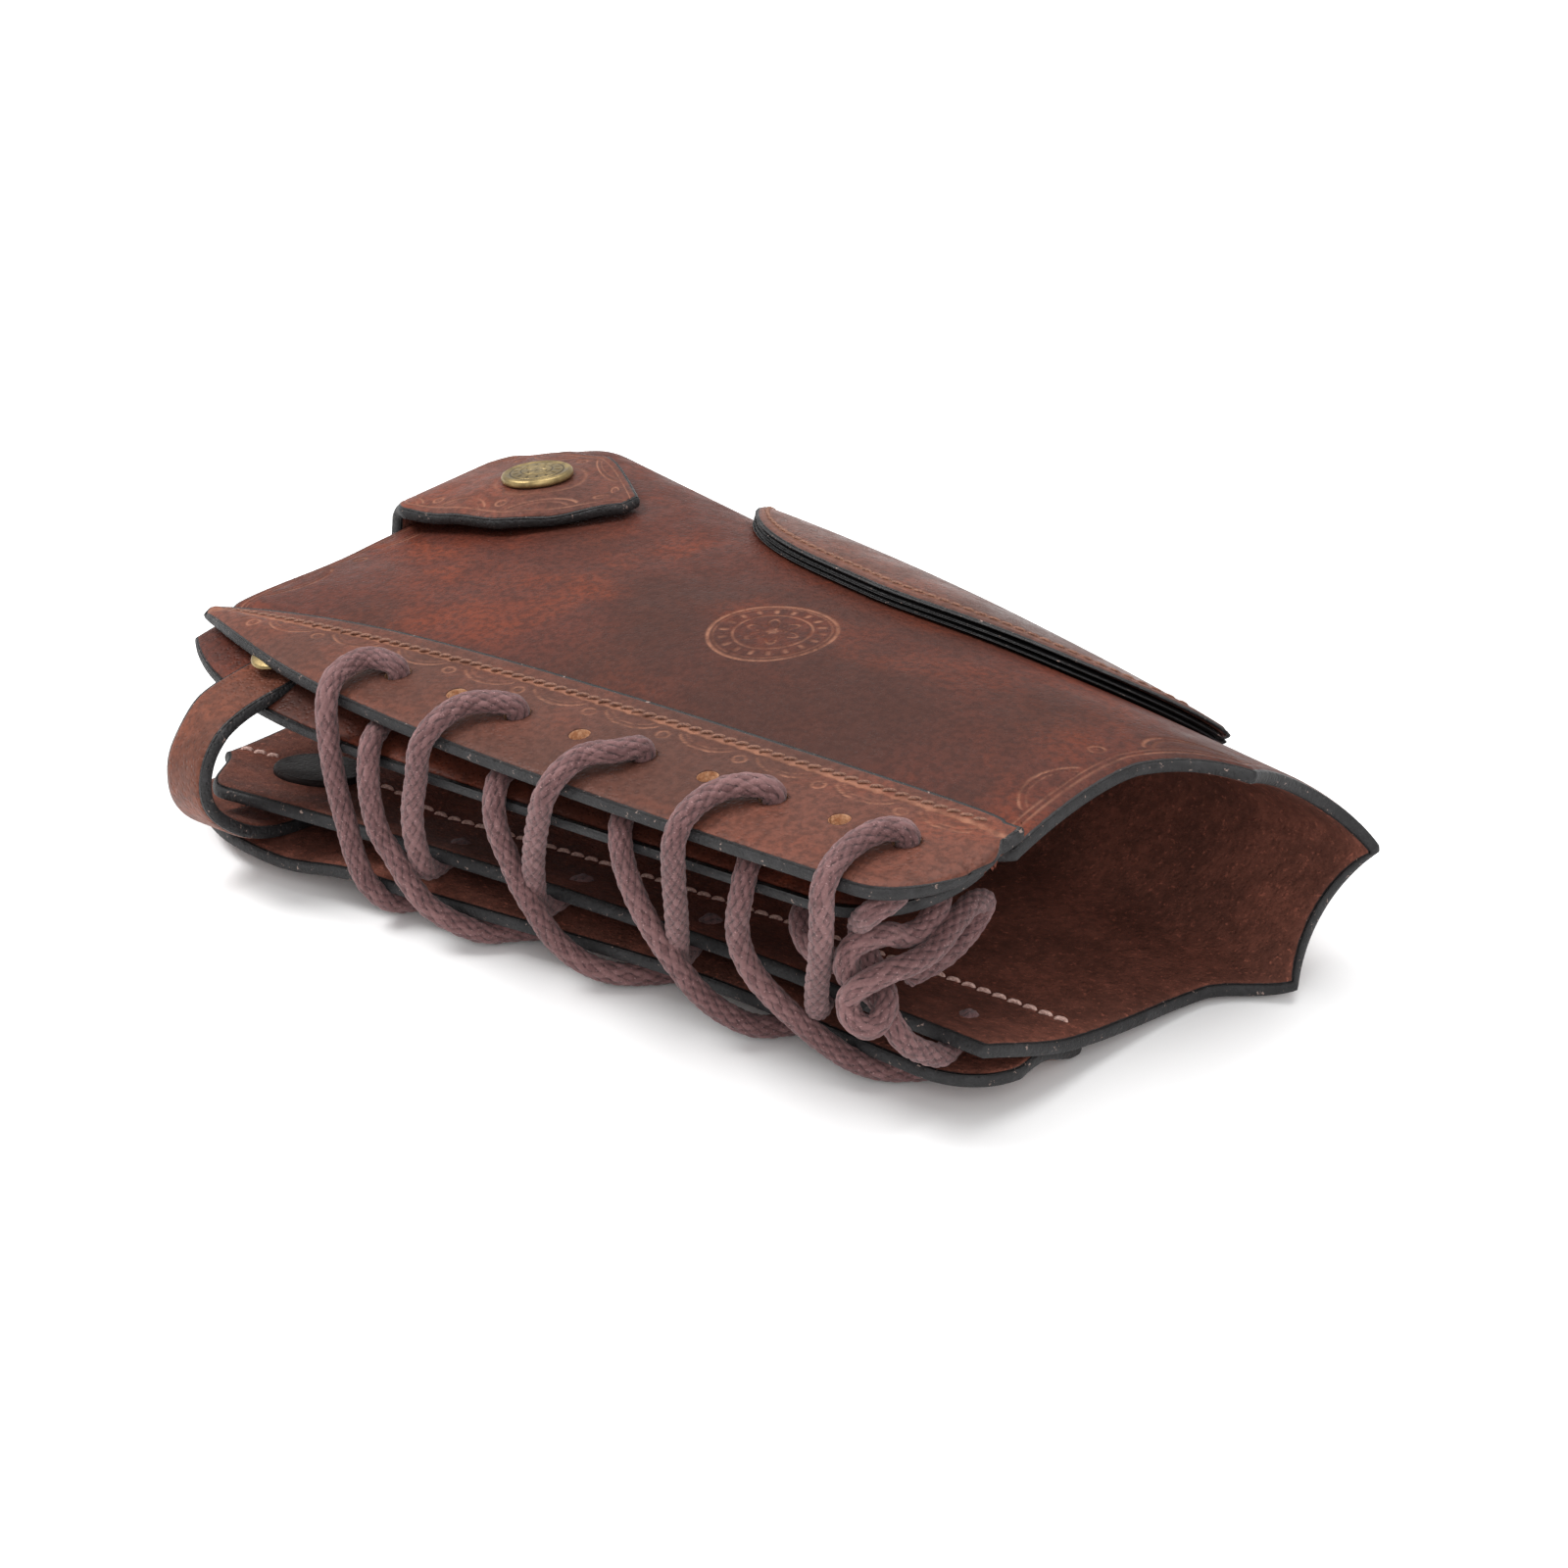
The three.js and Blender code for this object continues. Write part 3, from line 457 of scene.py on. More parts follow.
class Nodes:
    """A material with a Principled shader, and short names for the nodes that feed it."""

    def __init__(self, name):
        self.material = bpy.data.materials.new(name)
        self.material.use_nodes = True
        self.tree = self.material.node_tree
        self.tree.nodes.clear()
        self.output = self.new("ShaderNodeOutputMaterial")
        self.shader = self.new("ShaderNodeBsdfPrincipled")
        self.link(self.shader.outputs[0], self.output.inputs[0])
        self.coords = self.new("ShaderNodeTexCoord").outputs["Object"]

    def new(self, kind, **settings):
        node = self.tree.nodes.new(kind)
        for key, value in settings.items():
            setattr(node, key, value)
        return node

    def link(self, a, b):
        self.tree.links.new(a, b)

    def feed(self, socket, value):
        if hasattr(value, "links"):
            self.link(value, socket)
        elif value is not None:
            socket.default_value = value

    def attribute(self, name):
        return self.new("ShaderNodeAttribute", attribute_name=name).outputs["Fac"]

    def noise(self, scale, detail=4.0, rough=0.55, distortion=0.0, coords=None):
        node = self.new("ShaderNodeTexNoise")
        self.link(coords or self.coords, node.inputs["Vector"])
        node.inputs["Scale"].default_value = scale
        node.inputs["Detail"].default_value = detail
        node.inputs["Roughness"].default_value = rough
        node.inputs["Distortion"].default_value = distortion
        return node.outputs["Fac"]

    def voronoi(self, scale):
        node = self.new("ShaderNodeTexVoronoi")
        self.link(self.coords, node.inputs["Vector"])
        node.inputs["Scale"].default_value = scale
        return node.outputs["Distance"]

    def stretch(self, x, y, z):
        node = self.new("ShaderNodeMapping")
        self.link(self.coords, node.inputs["Vector"])
        node.inputs["Scale"].default_value = (x, y, z)
        return node.outputs["Vector"]

    def ramp(self, value, low, high, out_low=0.0, out_high=1.0):
        node = self.new("ShaderNodeMapRange", interpolation_type="SMOOTHSTEP")
        keys = ("Value", "From Min", "From Max", "To Min", "To Max")
        for key, v in zip(keys, (value, low, high, out_low, out_high)):
            self.feed(node.inputs[key], v)
        return node.outputs["Result"]

    def math(self, operation, a, b=None, clamped=False):
        node = self.new("ShaderNodeMath", operation=operation, use_clamp=clamped)
        self.feed(node.inputs[0], a)
        self.feed(node.inputs[1], b)
        return node.outputs[0]

    def mix(self, factor, a, b):
        node = self.new("ShaderNodeMix", data_type="RGBA")
        self.feed(node.inputs["Factor"], factor)
        self.feed(node.inputs[6], a)
        self.feed(node.inputs[7], b)
        return node.outputs[2]

    def bump(self, height, strength, distance, below=None):
        node = self.new("ShaderNodeBump")
        node.inputs["Strength"].default_value = strength
        node.inputs["Distance"].default_value = distance
        self.link(height, node.inputs["Height"])
        if below is not None:
            self.link(below, node.inputs["Normal"])
        return node.outputs["Normal"]


def grain_colour(n, main, warm, dark):
    """Outer side: mottled dye, dark pores and spots."""
    blotch = n.noise(42, 5, 0.6, 0.6)
    cloud = n.noise(13, 3, 0.5, 0.4)
    streak = n.noise(30, 4, 0.6, 0.3, n.stretch(0.45, 1.3, 1.0))
    fine = n.noise(700, 3, 0.6)
    colour = n.mix(n.ramp(blotch, 0.46, 0.66), srgb(*main), srgb(*warm))
    colour = n.mix(n.ramp(cloud, 0.46, 0.66, 0, 0.8), colour, srgb(*dark))
    colour = n.mix(n.ramp(streak, 0.54, 0.7, 0, 0.5), colour, srgb(*warm))
    colour = n.mix(n.ramp(fine, 0.36, 0.66, 0, 0.62), colour, shade(main, 0.6))
    spots = n.ramp(n.voronoi(420), 0.0, 0.16, 0.55, 0)
    spots = n.math("MULTIPLY", spots, n.ramp(n.noise(160, 2), 0.52, 0.6))
    return n.mix(spots, colour, shade(main, 0.4)), fine


def flesh_colour(n, inside, fibre):
    """Inner side: dull and fibrous."""
    colour = n.mix(n.ramp(n.noise(60, 4, 0.6), 0.35, 0.7), srgb(*inside), shade(inside, 1.28))
    colour = n.mix(n.ramp(n.noise(420, 4, 0.7), 0.42, 0.6, 0, 0.4), colour, shade(inside, 0.62))
    return n.mix(n.ramp(fibre, 0.56, 0.7, 0, 0.6), colour, shade(inside, 1.8))


def edge_colour(n, edge):
    """Dark dyed edge with a few pale fibres."""
    dyed = n.mix(n.ramp(n.noise(350, 4, 0.7), 0.45, 0.8), srgb(*edge), shade(edge, 1.7))
    specks = n.ramp(n.noise(760, 3, 0.75, 0.3), 0.64, 0.7, 0, 0.7)
    return n.mix(specks, dyed, srgb(165, 140, 130))


def leather_material(name, main, warm, dark, grain=1.0, gloss=0.5, inside=(92, 55, 45), edge=(26, 25, 26)):
    """Leather. Mesh attributes say where it is tooled, flesh side, dyed edge or raw hole wall."""
    n = Nodes(name)
    tool, flesh, border, raw = (n.attribute(key) for key in ("tool", "flesh", "edge", "raw"))
    fibre = n.noise(900, 4, 0.7)
    colour, fine = grain_colour(n, main, warm, dark)
    tool = n.ramp(tool, 0.0, 0.26)
    worn = n.math("MULTIPLY", tool, n.ramp(n.noise(210, 3, 0.6), 0.3, 0.62, 0.15, 0.75))
    colour = n.mix(worn, colour, srgb(150, 104, 83))
    inner = n.ramp(flesh, 0.4, 0.6)
    colour = n.mix(inner, colour, flesh_colour(n, inside, fibre))
    wander = n.math("MULTIPLY", n.math("SUBTRACT", n.noise(500, 3), 0.5), 0.35)
    black = n.ramp(n.math("ADD", border, wander), 0.35, 0.65)
    colour = n.mix(black, colour, edge_colour(n, edge))
    wall = n.mix(n.ramp(fibre, 0.35, 0.65), srgb(182, 130, 96), srgb(222, 178, 142))
    colour = n.mix(n.ramp(raw, 0.3, 0.7), colour, wall)
    n.link(colour, n.shader.inputs["Base Color"])
    rough = n.ramp(n.noise(120, 4, 0.6), 0.3, 0.7, gloss - 0.07, gloss + 0.09)
    rough = n.math("ADD", rough, n.math("MULTIPLY", inner, 0.3))
    rough = n.math("ADD", rough, n.math("MULTIPLY", tool, 0.12), clamped=True)
    n.link(rough, n.shader.inputs["Roughness"])
    n.link(n.math("ADD", n.math("MULTIPLY", black, 0.26), 0.17), n.shader.inputs["Specular IOR Level"])
    pores = n.math("ADD", n.ramp(n.voronoi(1050), 0.05, 0.5), n.math("MULTIPLY", fine, 0.8))
    relief = n.bump(pores, 0.38 * grain, 0.0003)
    relief = n.bump(n.noise(95, 4, 0.6), 0.25, 0.0008, relief)
    rough_edge = n.math("MULTIPLY", n.math("MAXIMUM", black, inner), fibre)
    n.link(n.bump(rough_edge, 0.7, 0.0004, relief), n.shader.inputs["Normal"])
    return n.material


def cord_material():
    n = Nodes("braided_cord")
    strand = n.attribute("strand")
    colour = n.mix(n.ramp(n.noise(900, 3), 0.3, 0.7), srgb(88, 58, 58), srgb(112, 78, 78))
    # painted shade: the low places between the braid's strands are darkened towards (42, 27, 29)
    colour = n.mix(n.ramp(strand, 0.0, 0.75), srgb(42, 27, 29), colour)
    colour = n.mix(n.ramp(n.attribute("tone"), 0.55, 1.0, 0, 0.4), colour, srgb(136, 100, 99))
    colour = n.mix(n.ramp(n.noise(2600, 2), 0.62, 0.75, 0, 0.5), colour, srgb(184, 148, 146))
    n.link(colour, n.shader.inputs["Base Color"])
    n.shader.inputs["Roughness"].default_value = 0.88
    n.shader.inputs["Sheen Weight"].default_value = 0.1
    n.shader.inputs["Sheen Roughness"].default_value = 0.5
    fibres = n.noise(2400, 3, 0.7)
    n.link(n.bump(fibres, 0.6, 0.0003), n.shader.inputs["Normal"])
    return n.material


def thread_material(name, low, high):
    n = Nodes(name)
    twist = n.noise(1800, 3, 0.7, 0, n.stretch(1, 2.4, 1))
    n.link(n.mix(n.ramp(twist, 0.3, 0.7), srgb(*low), srgb(*high)), n.shader.inputs["Base Color"])
    n.shader.inputs["Roughness"].default_value = 0.7
    n.link(n.bump(twist, 0.7, 0.0003), n.shader.inputs["Normal"])
    return n.material


def brass_material():
    n = Nodes("antique_brass")
    wear = n.noise(260, 5, 0.65)
    tool = n.ramp(n.attribute("tool"), 0.0, 0.16)
    colour = n.mix(n.ramp(wear, 0.35, 0.7), srgb(136, 118, 82), srgb(172, 150, 104))
    colour = n.mix(n.math("MULTIPLY", tool, 0.85), colour, srgb(44, 36, 26))
    colour = n.mix(n.ramp(n.noise(90, 4), 0.5, 0.75, 0, 0.5), colour, srgb(72, 60, 42))
    n.link(colour, n.shader.inputs["Base Color"])
    n.shader.inputs["Metallic"].default_value = 0.92
    n.link(n.ramp(wear, 0.3, 0.7, 0.34, 0.5), n.shader.inputs["Roughness"])
    n.link(n.bump(n.noise(1500, 3), 0.12, 0.0002), n.shader.inputs["Normal"])
    return n.material


def floor_material():
    n = Nodes("pale_floor")
    n.link(n.mix(n.noise(3, 2), (0.93, 0.93, 0.93, 1), (0.95, 0.95, 0.95, 1)), n.shader.inputs["Base Color"])
    n.shader.inputs["Roughness"].default_value = 0.9
    return n.material


# dyes: main colour, warm blotches, dark clouds
BROWN = leather_material("brown_leather", (83, 41, 31), (106, 48, 29), (58, 33, 26))
STRIP_BROWN = leather_material("strip_leather", (103, 61, 49), (114, 60, 43), (74, 47, 39))
FLAP_BROWN = leather_material("flap_leather", (98, 58, 47), (112, 58, 42), (68, 43, 38))
STRAP_BROWN = leather_material("strap_leather", (110, 62, 46), (124, 67, 46), (84, 50, 39), grain=1.6)
PAD = leather_material("pad_leather", (100, 64, 54), (110, 63, 49), (76, 50, 43), gloss=0.4)
DARK = leather_material("dark_leather", (31, 29, 30), (35, 32, 32), (26, 25, 26), inside=(32, 28, 28))
DISC = leather_material("disc_leather", (27, 16, 14), (32, 18, 15), (20, 14, 13), gloss=0.6,
                        edge=(28, 19, 18))
CORD = cord_material()
SEAM = thread_material("seam_thread", (86, 55, 44), (142, 100, 80))
INNER_SEAM = thread_material("inner_seam_thread", (166, 126, 116), (230, 196, 184))
BRASS = brass_material()


# ------------------------------------------------------------------ tooling
def groove(distance, width=0.3, depth=0.24):
    """Depth of a pressed line at a distance from its middle."""
    return depth * np.exp(-((distance / width) ** 2))


def arcs_and_rings(s, d, pitch, start, chord, sag, ring_at=2.4, ring_r=1.25, line=0.26):
    """Tooled arcs and small rings. s runs along the border, d away from it."""
    radius = (chord * chord / 4 + sag * sag) / (2 * sag)
    local = (s - start + pitch / 2) % pitch - pitch / 2
    r = np.hypot(local, d - sag + radius)
    in_arc = 1 - ease((np.abs(local) - chord / 2 + 0.6) / 0.8)
    ok = (d > -0.4) * in_arc
    out = groove(r - radius, line) * ok + groove(r - radius + 1.25, line * 0.8, 0.14) * ok
    between = (s - start) % pitch - pitch / 2
    ring = np.hypot(between, d - ring_at)
    return out + groove(ring - ring_r, line) + groove(ring, 0.3, 0.16)


def medallion(dx, dy):
    """Pressed rings, a band of ticks and a plain rosette."""
    r = np.hypot(dx, dy)
    a = np.arctan2(dy, dx)
    out = groove(r - 12.0, 0.34, 0.3) + groove(r - 11.0, 0.22, 0.16) + groove(r - 7.4, 0.26, 0.24)
    band = np.exp(-(((r - 9.2) / 0.95) ** 4))
    ticks = np.clip(np.cos(a * 18) * 1.8 - 0.55, 0, 1)
    out += 0.2 * band * ticks
    petals = 5.4 * np.abs(np.cos(3 * a))
    out += groove(r - np.maximum(petals, 1.2), 0.34, 0.24) * (r < 6.4)
    out += 0.16 * np.exp(-((r / 1.1) ** 4))
    return np.minimum(out, 0.34)


# ------------------------------------------------------------------ main panel
def spaced(stops):
    """Grid values: pairs of (end value, step) from 0."""
    out, at = [0.0], 0.0
    for end, step in stops:
        n = max(1, int(round((end - at) / step)))
        out += list(at + (end - at) * np.arange(1, n + 1) / n)
        at = end
    return np.array(out)


def build_main_panel():
    u = spaced([(0.065, 0.0021), (0.50, 0.0075), (0.665, 0.0017), (0.925, 0.0065), (1.0, 0.0021)])
    k = spaced([(0.92, 0.04), (1.12, 0.02), (1.18, 0.01), (2.12, 0.0075), (3.0, 0.0125), (5.0, 0.03),
                (8.0, 0.035)])
    uu, kk = np.meshgrid(u, k, indexing="ij")
    rear = 5 * kk / 8
    mouth = mouth_x(kk)
    x = rear + uu * (mouth - rear)
    mid = panel_point(x, kk)

    def at(a, b):
        r = 5 * b / 8
        return panel_point(r + a * (mouth_x(b) - r), b)

    nrm = surface_normal(at, uu, kk, 1e-3, 4e-3)
    across = run_lengths(mid, 1)
    seam = np.argmin(np.abs(k - 1.0))
    s = across - across[:, seam:seam + 1]
    outside = (kk > 1.12) & (kk < 4.6)
    d = x - rear
    border = groove(d - 2.3, 0.26, 0.2) + groove(d - 3.5, 0.22, 0.14)
    border += arcs_and_rings(s, d - 4.4, 31.0, 20.0, 19.0, 4.2)
    slope = np.gradient(mouth_x(k), k) / np.maximum(np.gradient(across[len(u) // 2], k), 1)
    squeeze = 1 / np.sqrt(1 + slope ** 2)
    m = (mouth - x) * squeeze[None]
    border += groove(m - 2.6, 0.26, 0.22) + groove(m - 3.9, 0.22, 0.16)
    border += arcs_and_rings(s, m - 4.9, 31.0, 18.0, 17.0, 4.0)
    centre, out = panel_spot(MEDALLION_X, MEDALLION_K)
    ex = unit(np.array([1.0, 0, 0]) - out * out[0])
    ey = np.cross(out, ex)
    delta = mid - centre
    dx, dy = delta @ ex, delta @ ey
    close = (np.hypot(dx, dy) < 14) & (kk < 3)
    relief = border * outside + np.where(close, medallion(dx, dy), 0)
    panel = leather_sheet("main_panel_leather", mid, nrm, BROWN, relief=relief)
    settle(panel, "main_panel")


# ------------------------------------------------------------------ lacing strips
def build_strip(upper):
    end = STRIP_END[upper] - 1
    x = spaced([(end - 1, 0.42), (end, 0.12)]) + 1.0
    w = np.linspace(0, 1, 78 if upper else 60)
    xx, ww = np.meshgrid(x, w, indexing="ij")
    mid = strip_point(xx, ww, upper)
    point = lambda a, b: strip_point(a, b, upper)
    nrm = surface_normal(point, xx, ww, 0.1, 0.01, 0.0, 1.0)
    nrm = np.where(((nrm[..., 2] < 0) == upper)[..., None], -nrm, nrm)
    across = run_lengths(mid, 1)
    seam = across[:, [0]] + 4.4
    d = across - seam
    relief = arcs_and_rings(xx, d - 1.6, 17.0, 26.0, 12.5, 3.2, ring_at=2.2, ring_r=1.2)
    relief = relief * (xx > 14) * (xx < 184)
    dent = groove(d, 0.8, 0.22)
    pits = 0.25 * np.exp(-((((xx - 3.0) % 3.6 - 1.8) / 0.5) ** 2)) * np.exp(-((d / 0.7) ** 2))
    relief = np.minimum(relief + dent + pits, 0.5)
    size = lambda i: UNUSED_HOLE_R if upper and i % 2 == 0 else HOLE_R
    holes = [(hole_frame(i, upper)[0], size(i)) for i in range(1, 10)]
    name = "upper" if upper else "lower"
    strip = leather_sheet(f"lacing_strip_{name}_leather", mid, nrm, STRIP_BROWN, relief=relief, holes=holes,
                          turned=upper)
    settle(strip, f"lacing_strip_{name}")


def stitches(points, normals, pitch, radius, slant, height, gap=0.14):
    """Separate stitches along a line: each leaves the leather, lies on it and goes back in."""
    run = np.concatenate([[0], np.cumsum(np.linalg.norm(np.diff(points, axis=0), axis=1))])
    count = int(run[-1] // pitch)
    sample = lambda s, a: np.stack([np.interp(s, run, a[:, c]) for c in range(3)], axis=-1)
    parts = []
    for i in range(count):
        s = (i + np.linspace(gap / 2, 1 - gap / 2, 9)) * pitch
        p, n = sample(s, points), unit(sample(s, normals))
        t = np.linspace(-1, 1, 9)
        side = unit(np.cross(n, np.gradient(p, axis=0)))
        path = p + n * (height * (1 - t ** 4) - 0.35 * t ** 6)[:, None] + side * (slant * t)[:, None]
        parts.append(tube(path, radius, 8))
    return join(parts)


def build_strip_threads():
    x = np.linspace(4, 187, 240)
    n = panel_normal(x, 1.0)
    line, inner = panel_offset(x, 1.0, STRIP_LIFT + LEATHER / 2 - 0.16), panel_offset(x, 1.0, -LEATHER / 2)
    outside = stitches(line, n, pitch=2.6, radius=0.34, slant=0.42, height=0.26)
    inside = stitches(inner, -n, pitch=2.6, radius=0.34, slant=0.1, height=0.22, gap=0.25)
    obj = add_object("strip_stitches_upper", *join([outside, inside]), SEAM)
    settle(obj, "strip_thread_upper")
    for name, start, end in (("toe_stitches_lower", 5.5, 16.5), ("strip_stitches_lower", 36.0, 195.0)):
        x = np.linspace(start, end, 200)
        line, n = panel_offset(x, 7.0, -LEATHER / 2), -panel_normal(x, 7.0)
        seam = stitches(line, n, pitch=3.2, radius=0.42, slant=0.3, height=0.3, gap=0.34)
        settle(add_object(name, *seam, INNER_SEAM), "strip_thread_lower")


# ------------------------------------------------------------------ cheek pad
def pad_half(x):
    rear = clamp((PAD_PEAK - x) / (PAD_PEAK - PAD_START))
    front = clamp((x - PAD_PEAK) / (PAD_END - PAD_PEAK))
    return 0.02 + 0.92 * (1 - rear ** 4) ** 0.5 * (1 - front ** 1.6) ** 0.8


def pad_row(x, w):
    """Panel row under the pad, from its lower edge (w -1) to its upper one (w 1)."""
    half = pad_half(x)
    return 3.66 - 0.14 * half + half * w


def pad_point(u, v, offset, dome):
    x = PAD_START + u * (PAD_END - PAD_START)
    w = 2 * v - 1
    swell = dome * (1 - w * w) * 4 * u * (1 - u)
    return panel_offset(x, pad_row(x, w), offset + swell)


def pad_surface(offset, dome):
    return lambda u, v: pad_point(np.clip(u, 0, 1), v, offset, dome)


def pad_normal(point, u, v):
    return surface_normal(point, u, v, 2e-3, 5e-3, 0.0, 1.0)


def build_pad_layer(name, offset, dome, thick, material, rows, columns, cover=False):
    t = np.linspace(0, math.pi, rows)
    u = 0.5 - 0.5 * np.cos(t) * (0.985 + 0.015 * np.abs(np.cos(t)))
    uu, vv = np.meshgrid(u, np.linspace(0, 1, columns), indexing="ij")
    point = pad_surface(offset, dome)
    mid = point(uu, vv)
    relief = None
    if cover:
        across = run_lengths(mid, 1)
        reach = np.minimum(across, across[:, -1:] - across)
        relief = groove(reach - PAD_SEAM_IN, 0.7, 0.2) + groove(reach - 1.7, 0.3, 0.14)
    obj = leather_sheet(name + "_leather", mid, pad_normal(point, uu, vv), material, thickness=thick,
                        relief=relief, bulge=0.45)
    settle(obj, name)


def build_pad_thread():
    """Stitches along both long borders, outside on the cover and inside the sleeve."""
    lines = []
    u = np.linspace(0.035, 0.965, 200)
    x = PAD_START + u * (PAD_END - PAD_START)
    point = pad_surface(PAD_OFFSETS[2], PAD_DOME)
    for border in (0, 1):
        v = np.linspace(border, 0.5, 60)
        uu, vv = np.meshgrid(u, v, indexing="ij")
        run = run_lengths(point(uu, vv), 1)
        vs = np.array([np.interp(PAD_SEAM_IN, row, v) for row in run])
        p, n = point(u, vs), pad_normal(point, u, vs)
        line = p + n * (PAD_COVER / 2 - 0.2)
        lines.append(stitches(line, n, pitch=2.8, radius=0.3, slant=0.3, height=0.2))
        k = pad_row(x, 2 * vs - 1)
        line, n = panel_offset(x, k, -LEATHER / 2), -panel_normal(x, k)
        lines.append(stitches(line, n, pitch=3.6, radius=0.4, slant=0.1, height=0.25, gap=0.35))
    settle(add_object("cheek_pad_stitches", *join(lines), SEAM), "cheek_pad_thread")


def build_pad():
    inner, outer, cover = PAD_OFFSETS
    build_pad_layer("cheek_pad_layer_inner", inner, 0.0, PAD_LAYER, DARK, 140, 60)
    build_pad_layer("cheek_pad_layer_outer", outer, 0.8, PAD_LAYER, DARK, 140, 60)
    build_pad_layer("cheek_pad_cover", cover, PAD_DOME, PAD_COVER, PAD, 300, 150, cover=True)
    build_pad_thread()


# ------------------------------------------------------------------ heel strap and snap
def flap_point(x):
    z = panel_point(max(2.0, x), STRAP_K)[2]
    return [x, STRAP_Y, z + FLAP_LIFT - 1.9 * float(ease((x - 34) / 16))]


def strap_path():
    """Under the sleeve, up round its open end, and over its top to the flap's tip."""
    under = [[x, STRAP_Y, 1.5] for x in (48, 36, 24, 12, 5)]
    back = [(1, 2), (-1.9, 4.6), (-3, 9), (-3, 16), (-2.6, 26), (-2, 33), (-1.4, 37.5), (-0.9, 40.1),
            (1.3, 42.3), (5, 43.8), (11, 45.3)]
    over = [flap_point(x) for x in (19, SNAP_X, 34, 42, FLAP_TIP)]
    return under + [[x, STRAP_Y, z] for x, z in back] + over


def build_heel_strap():
    count = 420
    line, length = curve(strap_path(), count)
    tangent = unit(np.gradient(line, axis=0))
    v = np.linspace(-1, 1, 100)
    to_tip = length - np.linspace(0, length, count)
    over = line[:, 2] > 30
    point = clamp((line[:, 0] - FLAP_TIP + FLAP_POINT) / FLAP_POINT) * over
    high = line[:, 2] > 36
    neck = np.where(high, 1 - ease((line[:, 0] + 1.5) / 8), ease((line[:, 2] - 4) / 14))
    half = (STRAP_HALF - STRAP_NECK * neck) * (1 - 0.87 * point ** 1.15)
    mid = line[:, None] + np.stack([0 * v, v, 0 * v], -1)[None] * half[:, None, None]
    edge = clamp((-v - 0.35) / 0.65) ** 2
    sag = 2.2 * ease((line[:, 0] - 2) / 16) * (1 - ease((line[:, 0] - 38) / 12)) * over
    mid[..., 2] -= sag[:, None] * edge[None]
    across = np.gradient(mid, axis=1)
    nrm = unit(np.cross(across, np.broadcast_to(tangent[:, None], mid.shape)))
    if nrm[-1, 50, 2] < 0:
        nrm = -nrm
    # tooled border scrolls on the flap
    s = to_tip[:, None] * np.ones_like(v)[None]
    y = half[:, None] * v[None]
    border = half[:, None] - np.abs(y)
    relief = groove(border - 2.2, 0.25, 0.18) * (s < 58)
    scrolls = arcs_and_rings(s, border - 3.0, 17.0, 14.0, 12.0, 3.0, ring_at=2.2, ring_r=1.1)
    relief += scrolls * (s > 5) * (s < 52)
    snap_s = np.argmin(np.linalg.norm(line - np.array(flap_point(SNAP_X)), axis=1))
    relief += groove(np.hypot(s - to_tip[snap_s], y) - 9.4, 0.5, 0.12)
    holes = [(line[snap_s], 1.9)]
    obj = leather_sheet("heel_strap_leather", mid, nrm, FLAP_BROWN, relief=np.minimum(relief, 0.32),
                        holes=holes, turned=True)
    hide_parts("heel_strap", "heel_flap")
    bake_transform(obj)


def snap_axis():
    a, b = np.array(flap_point(SNAP_X - 1)), np.array(flap_point(SNAP_X + 1))
    d = unit(b - a)
    return np.array([-d[2], 0, d[0]])


def snap_place(height):
    foot = panel_point(SNAP_X, STRAP_K)[2]
    return np.array([SNAP_X, STRAP_Y, foot]) + snap_axis() * height


def turned_piece(name, radii, heights, place, axis, material, ornament=None, around=120):
    """A turned piece from profile points, with an optional engraved ornament."""
    axis = unit(np.array(axis, float))
    ex = unit(np.cross([0, 1.0, 0], axis))
    ey = np.cross(axis, ex)
    a = np.arange(around) * 2 * math.pi / around
    radii, heights = np.array(radii), np.array(heights)
    rr = np.repeat(radii[:, None], around, 1)
    hh = np.repeat(heights[:, None], around, 1)
    tool = np.zeros_like(rr)
    if ornament is not None:
        tool = ornament(rr * np.cos(a), rr * np.sin(a)) * (heights[:, None] > 0.8)
        hh = hh - tool
    verts = place + ex * (rr * np.cos(a))[..., None] + ey * (rr * np.sin(a))[..., None] + axis * hh[..., None]
    ends = np.stack([place + axis * heights[0], place + axis * (heights[-1] - tool[-1].mean())])
    verts = np.concatenate([verts.reshape(-1, 3), ends])
    attributes = {"tool": np.concatenate([tool.ravel(), [0, 0]])}
    return add_object(name, verts, round_faces(len(radii), around), material, attributes)


def cap_ornament(dx, dy):
    r, a = np.hypot(dx, dy), np.arctan2(dy, dx)
    out = groove(r - 5.6, 0.16, 0.16) + groove(r - 3.3, 0.16, 0.14)
    band = np.exp(-(((r - 4.45) / 0.6) ** 4))
    out += 0.12 * band * np.clip(np.cos(a * 14) * 1.7 - 0.5, 0, 1)
    petals = 2.5 * np.abs(np.cos(2 * a))
    out += groove(r - np.maximum(petals, 0.5), 0.16, 0.14) * (r < 3.0)
    return out


def build_snap_cap():
    rim = CAP_R
    t = np.linspace(0, math.pi / 2, 9)
    face = np.linspace(rim - 0.75, 0.05, 62)
    radii = [1.3, 1.3, rim - 0.5, *(rim - 0.5 + 0.5 * np.sin(t)), *(rim - 0.6 + 0.6 * np.cos(t)), *face]
    dish = 1.6 - 0.28 * ease((rim - 0.75 - face) / 0.8) + 0.7 * (1 - (face / rim) ** 2)
    heights = [-4.2, 0, 0, *(0.55 - 0.55 * np.cos(t)), *(0.7 + 0.9 * np.sin(t)), *dish]
    place = snap_place(FLAP_LIFT + LEATHER / 2 + 0.15)
    obj = turned_piece("heel_snap_cap_brass", radii, heights, place, snap_axis(), BRASS, cap_ornament, 200)
    settle(obj, "heel_snap_cap", FLAP)


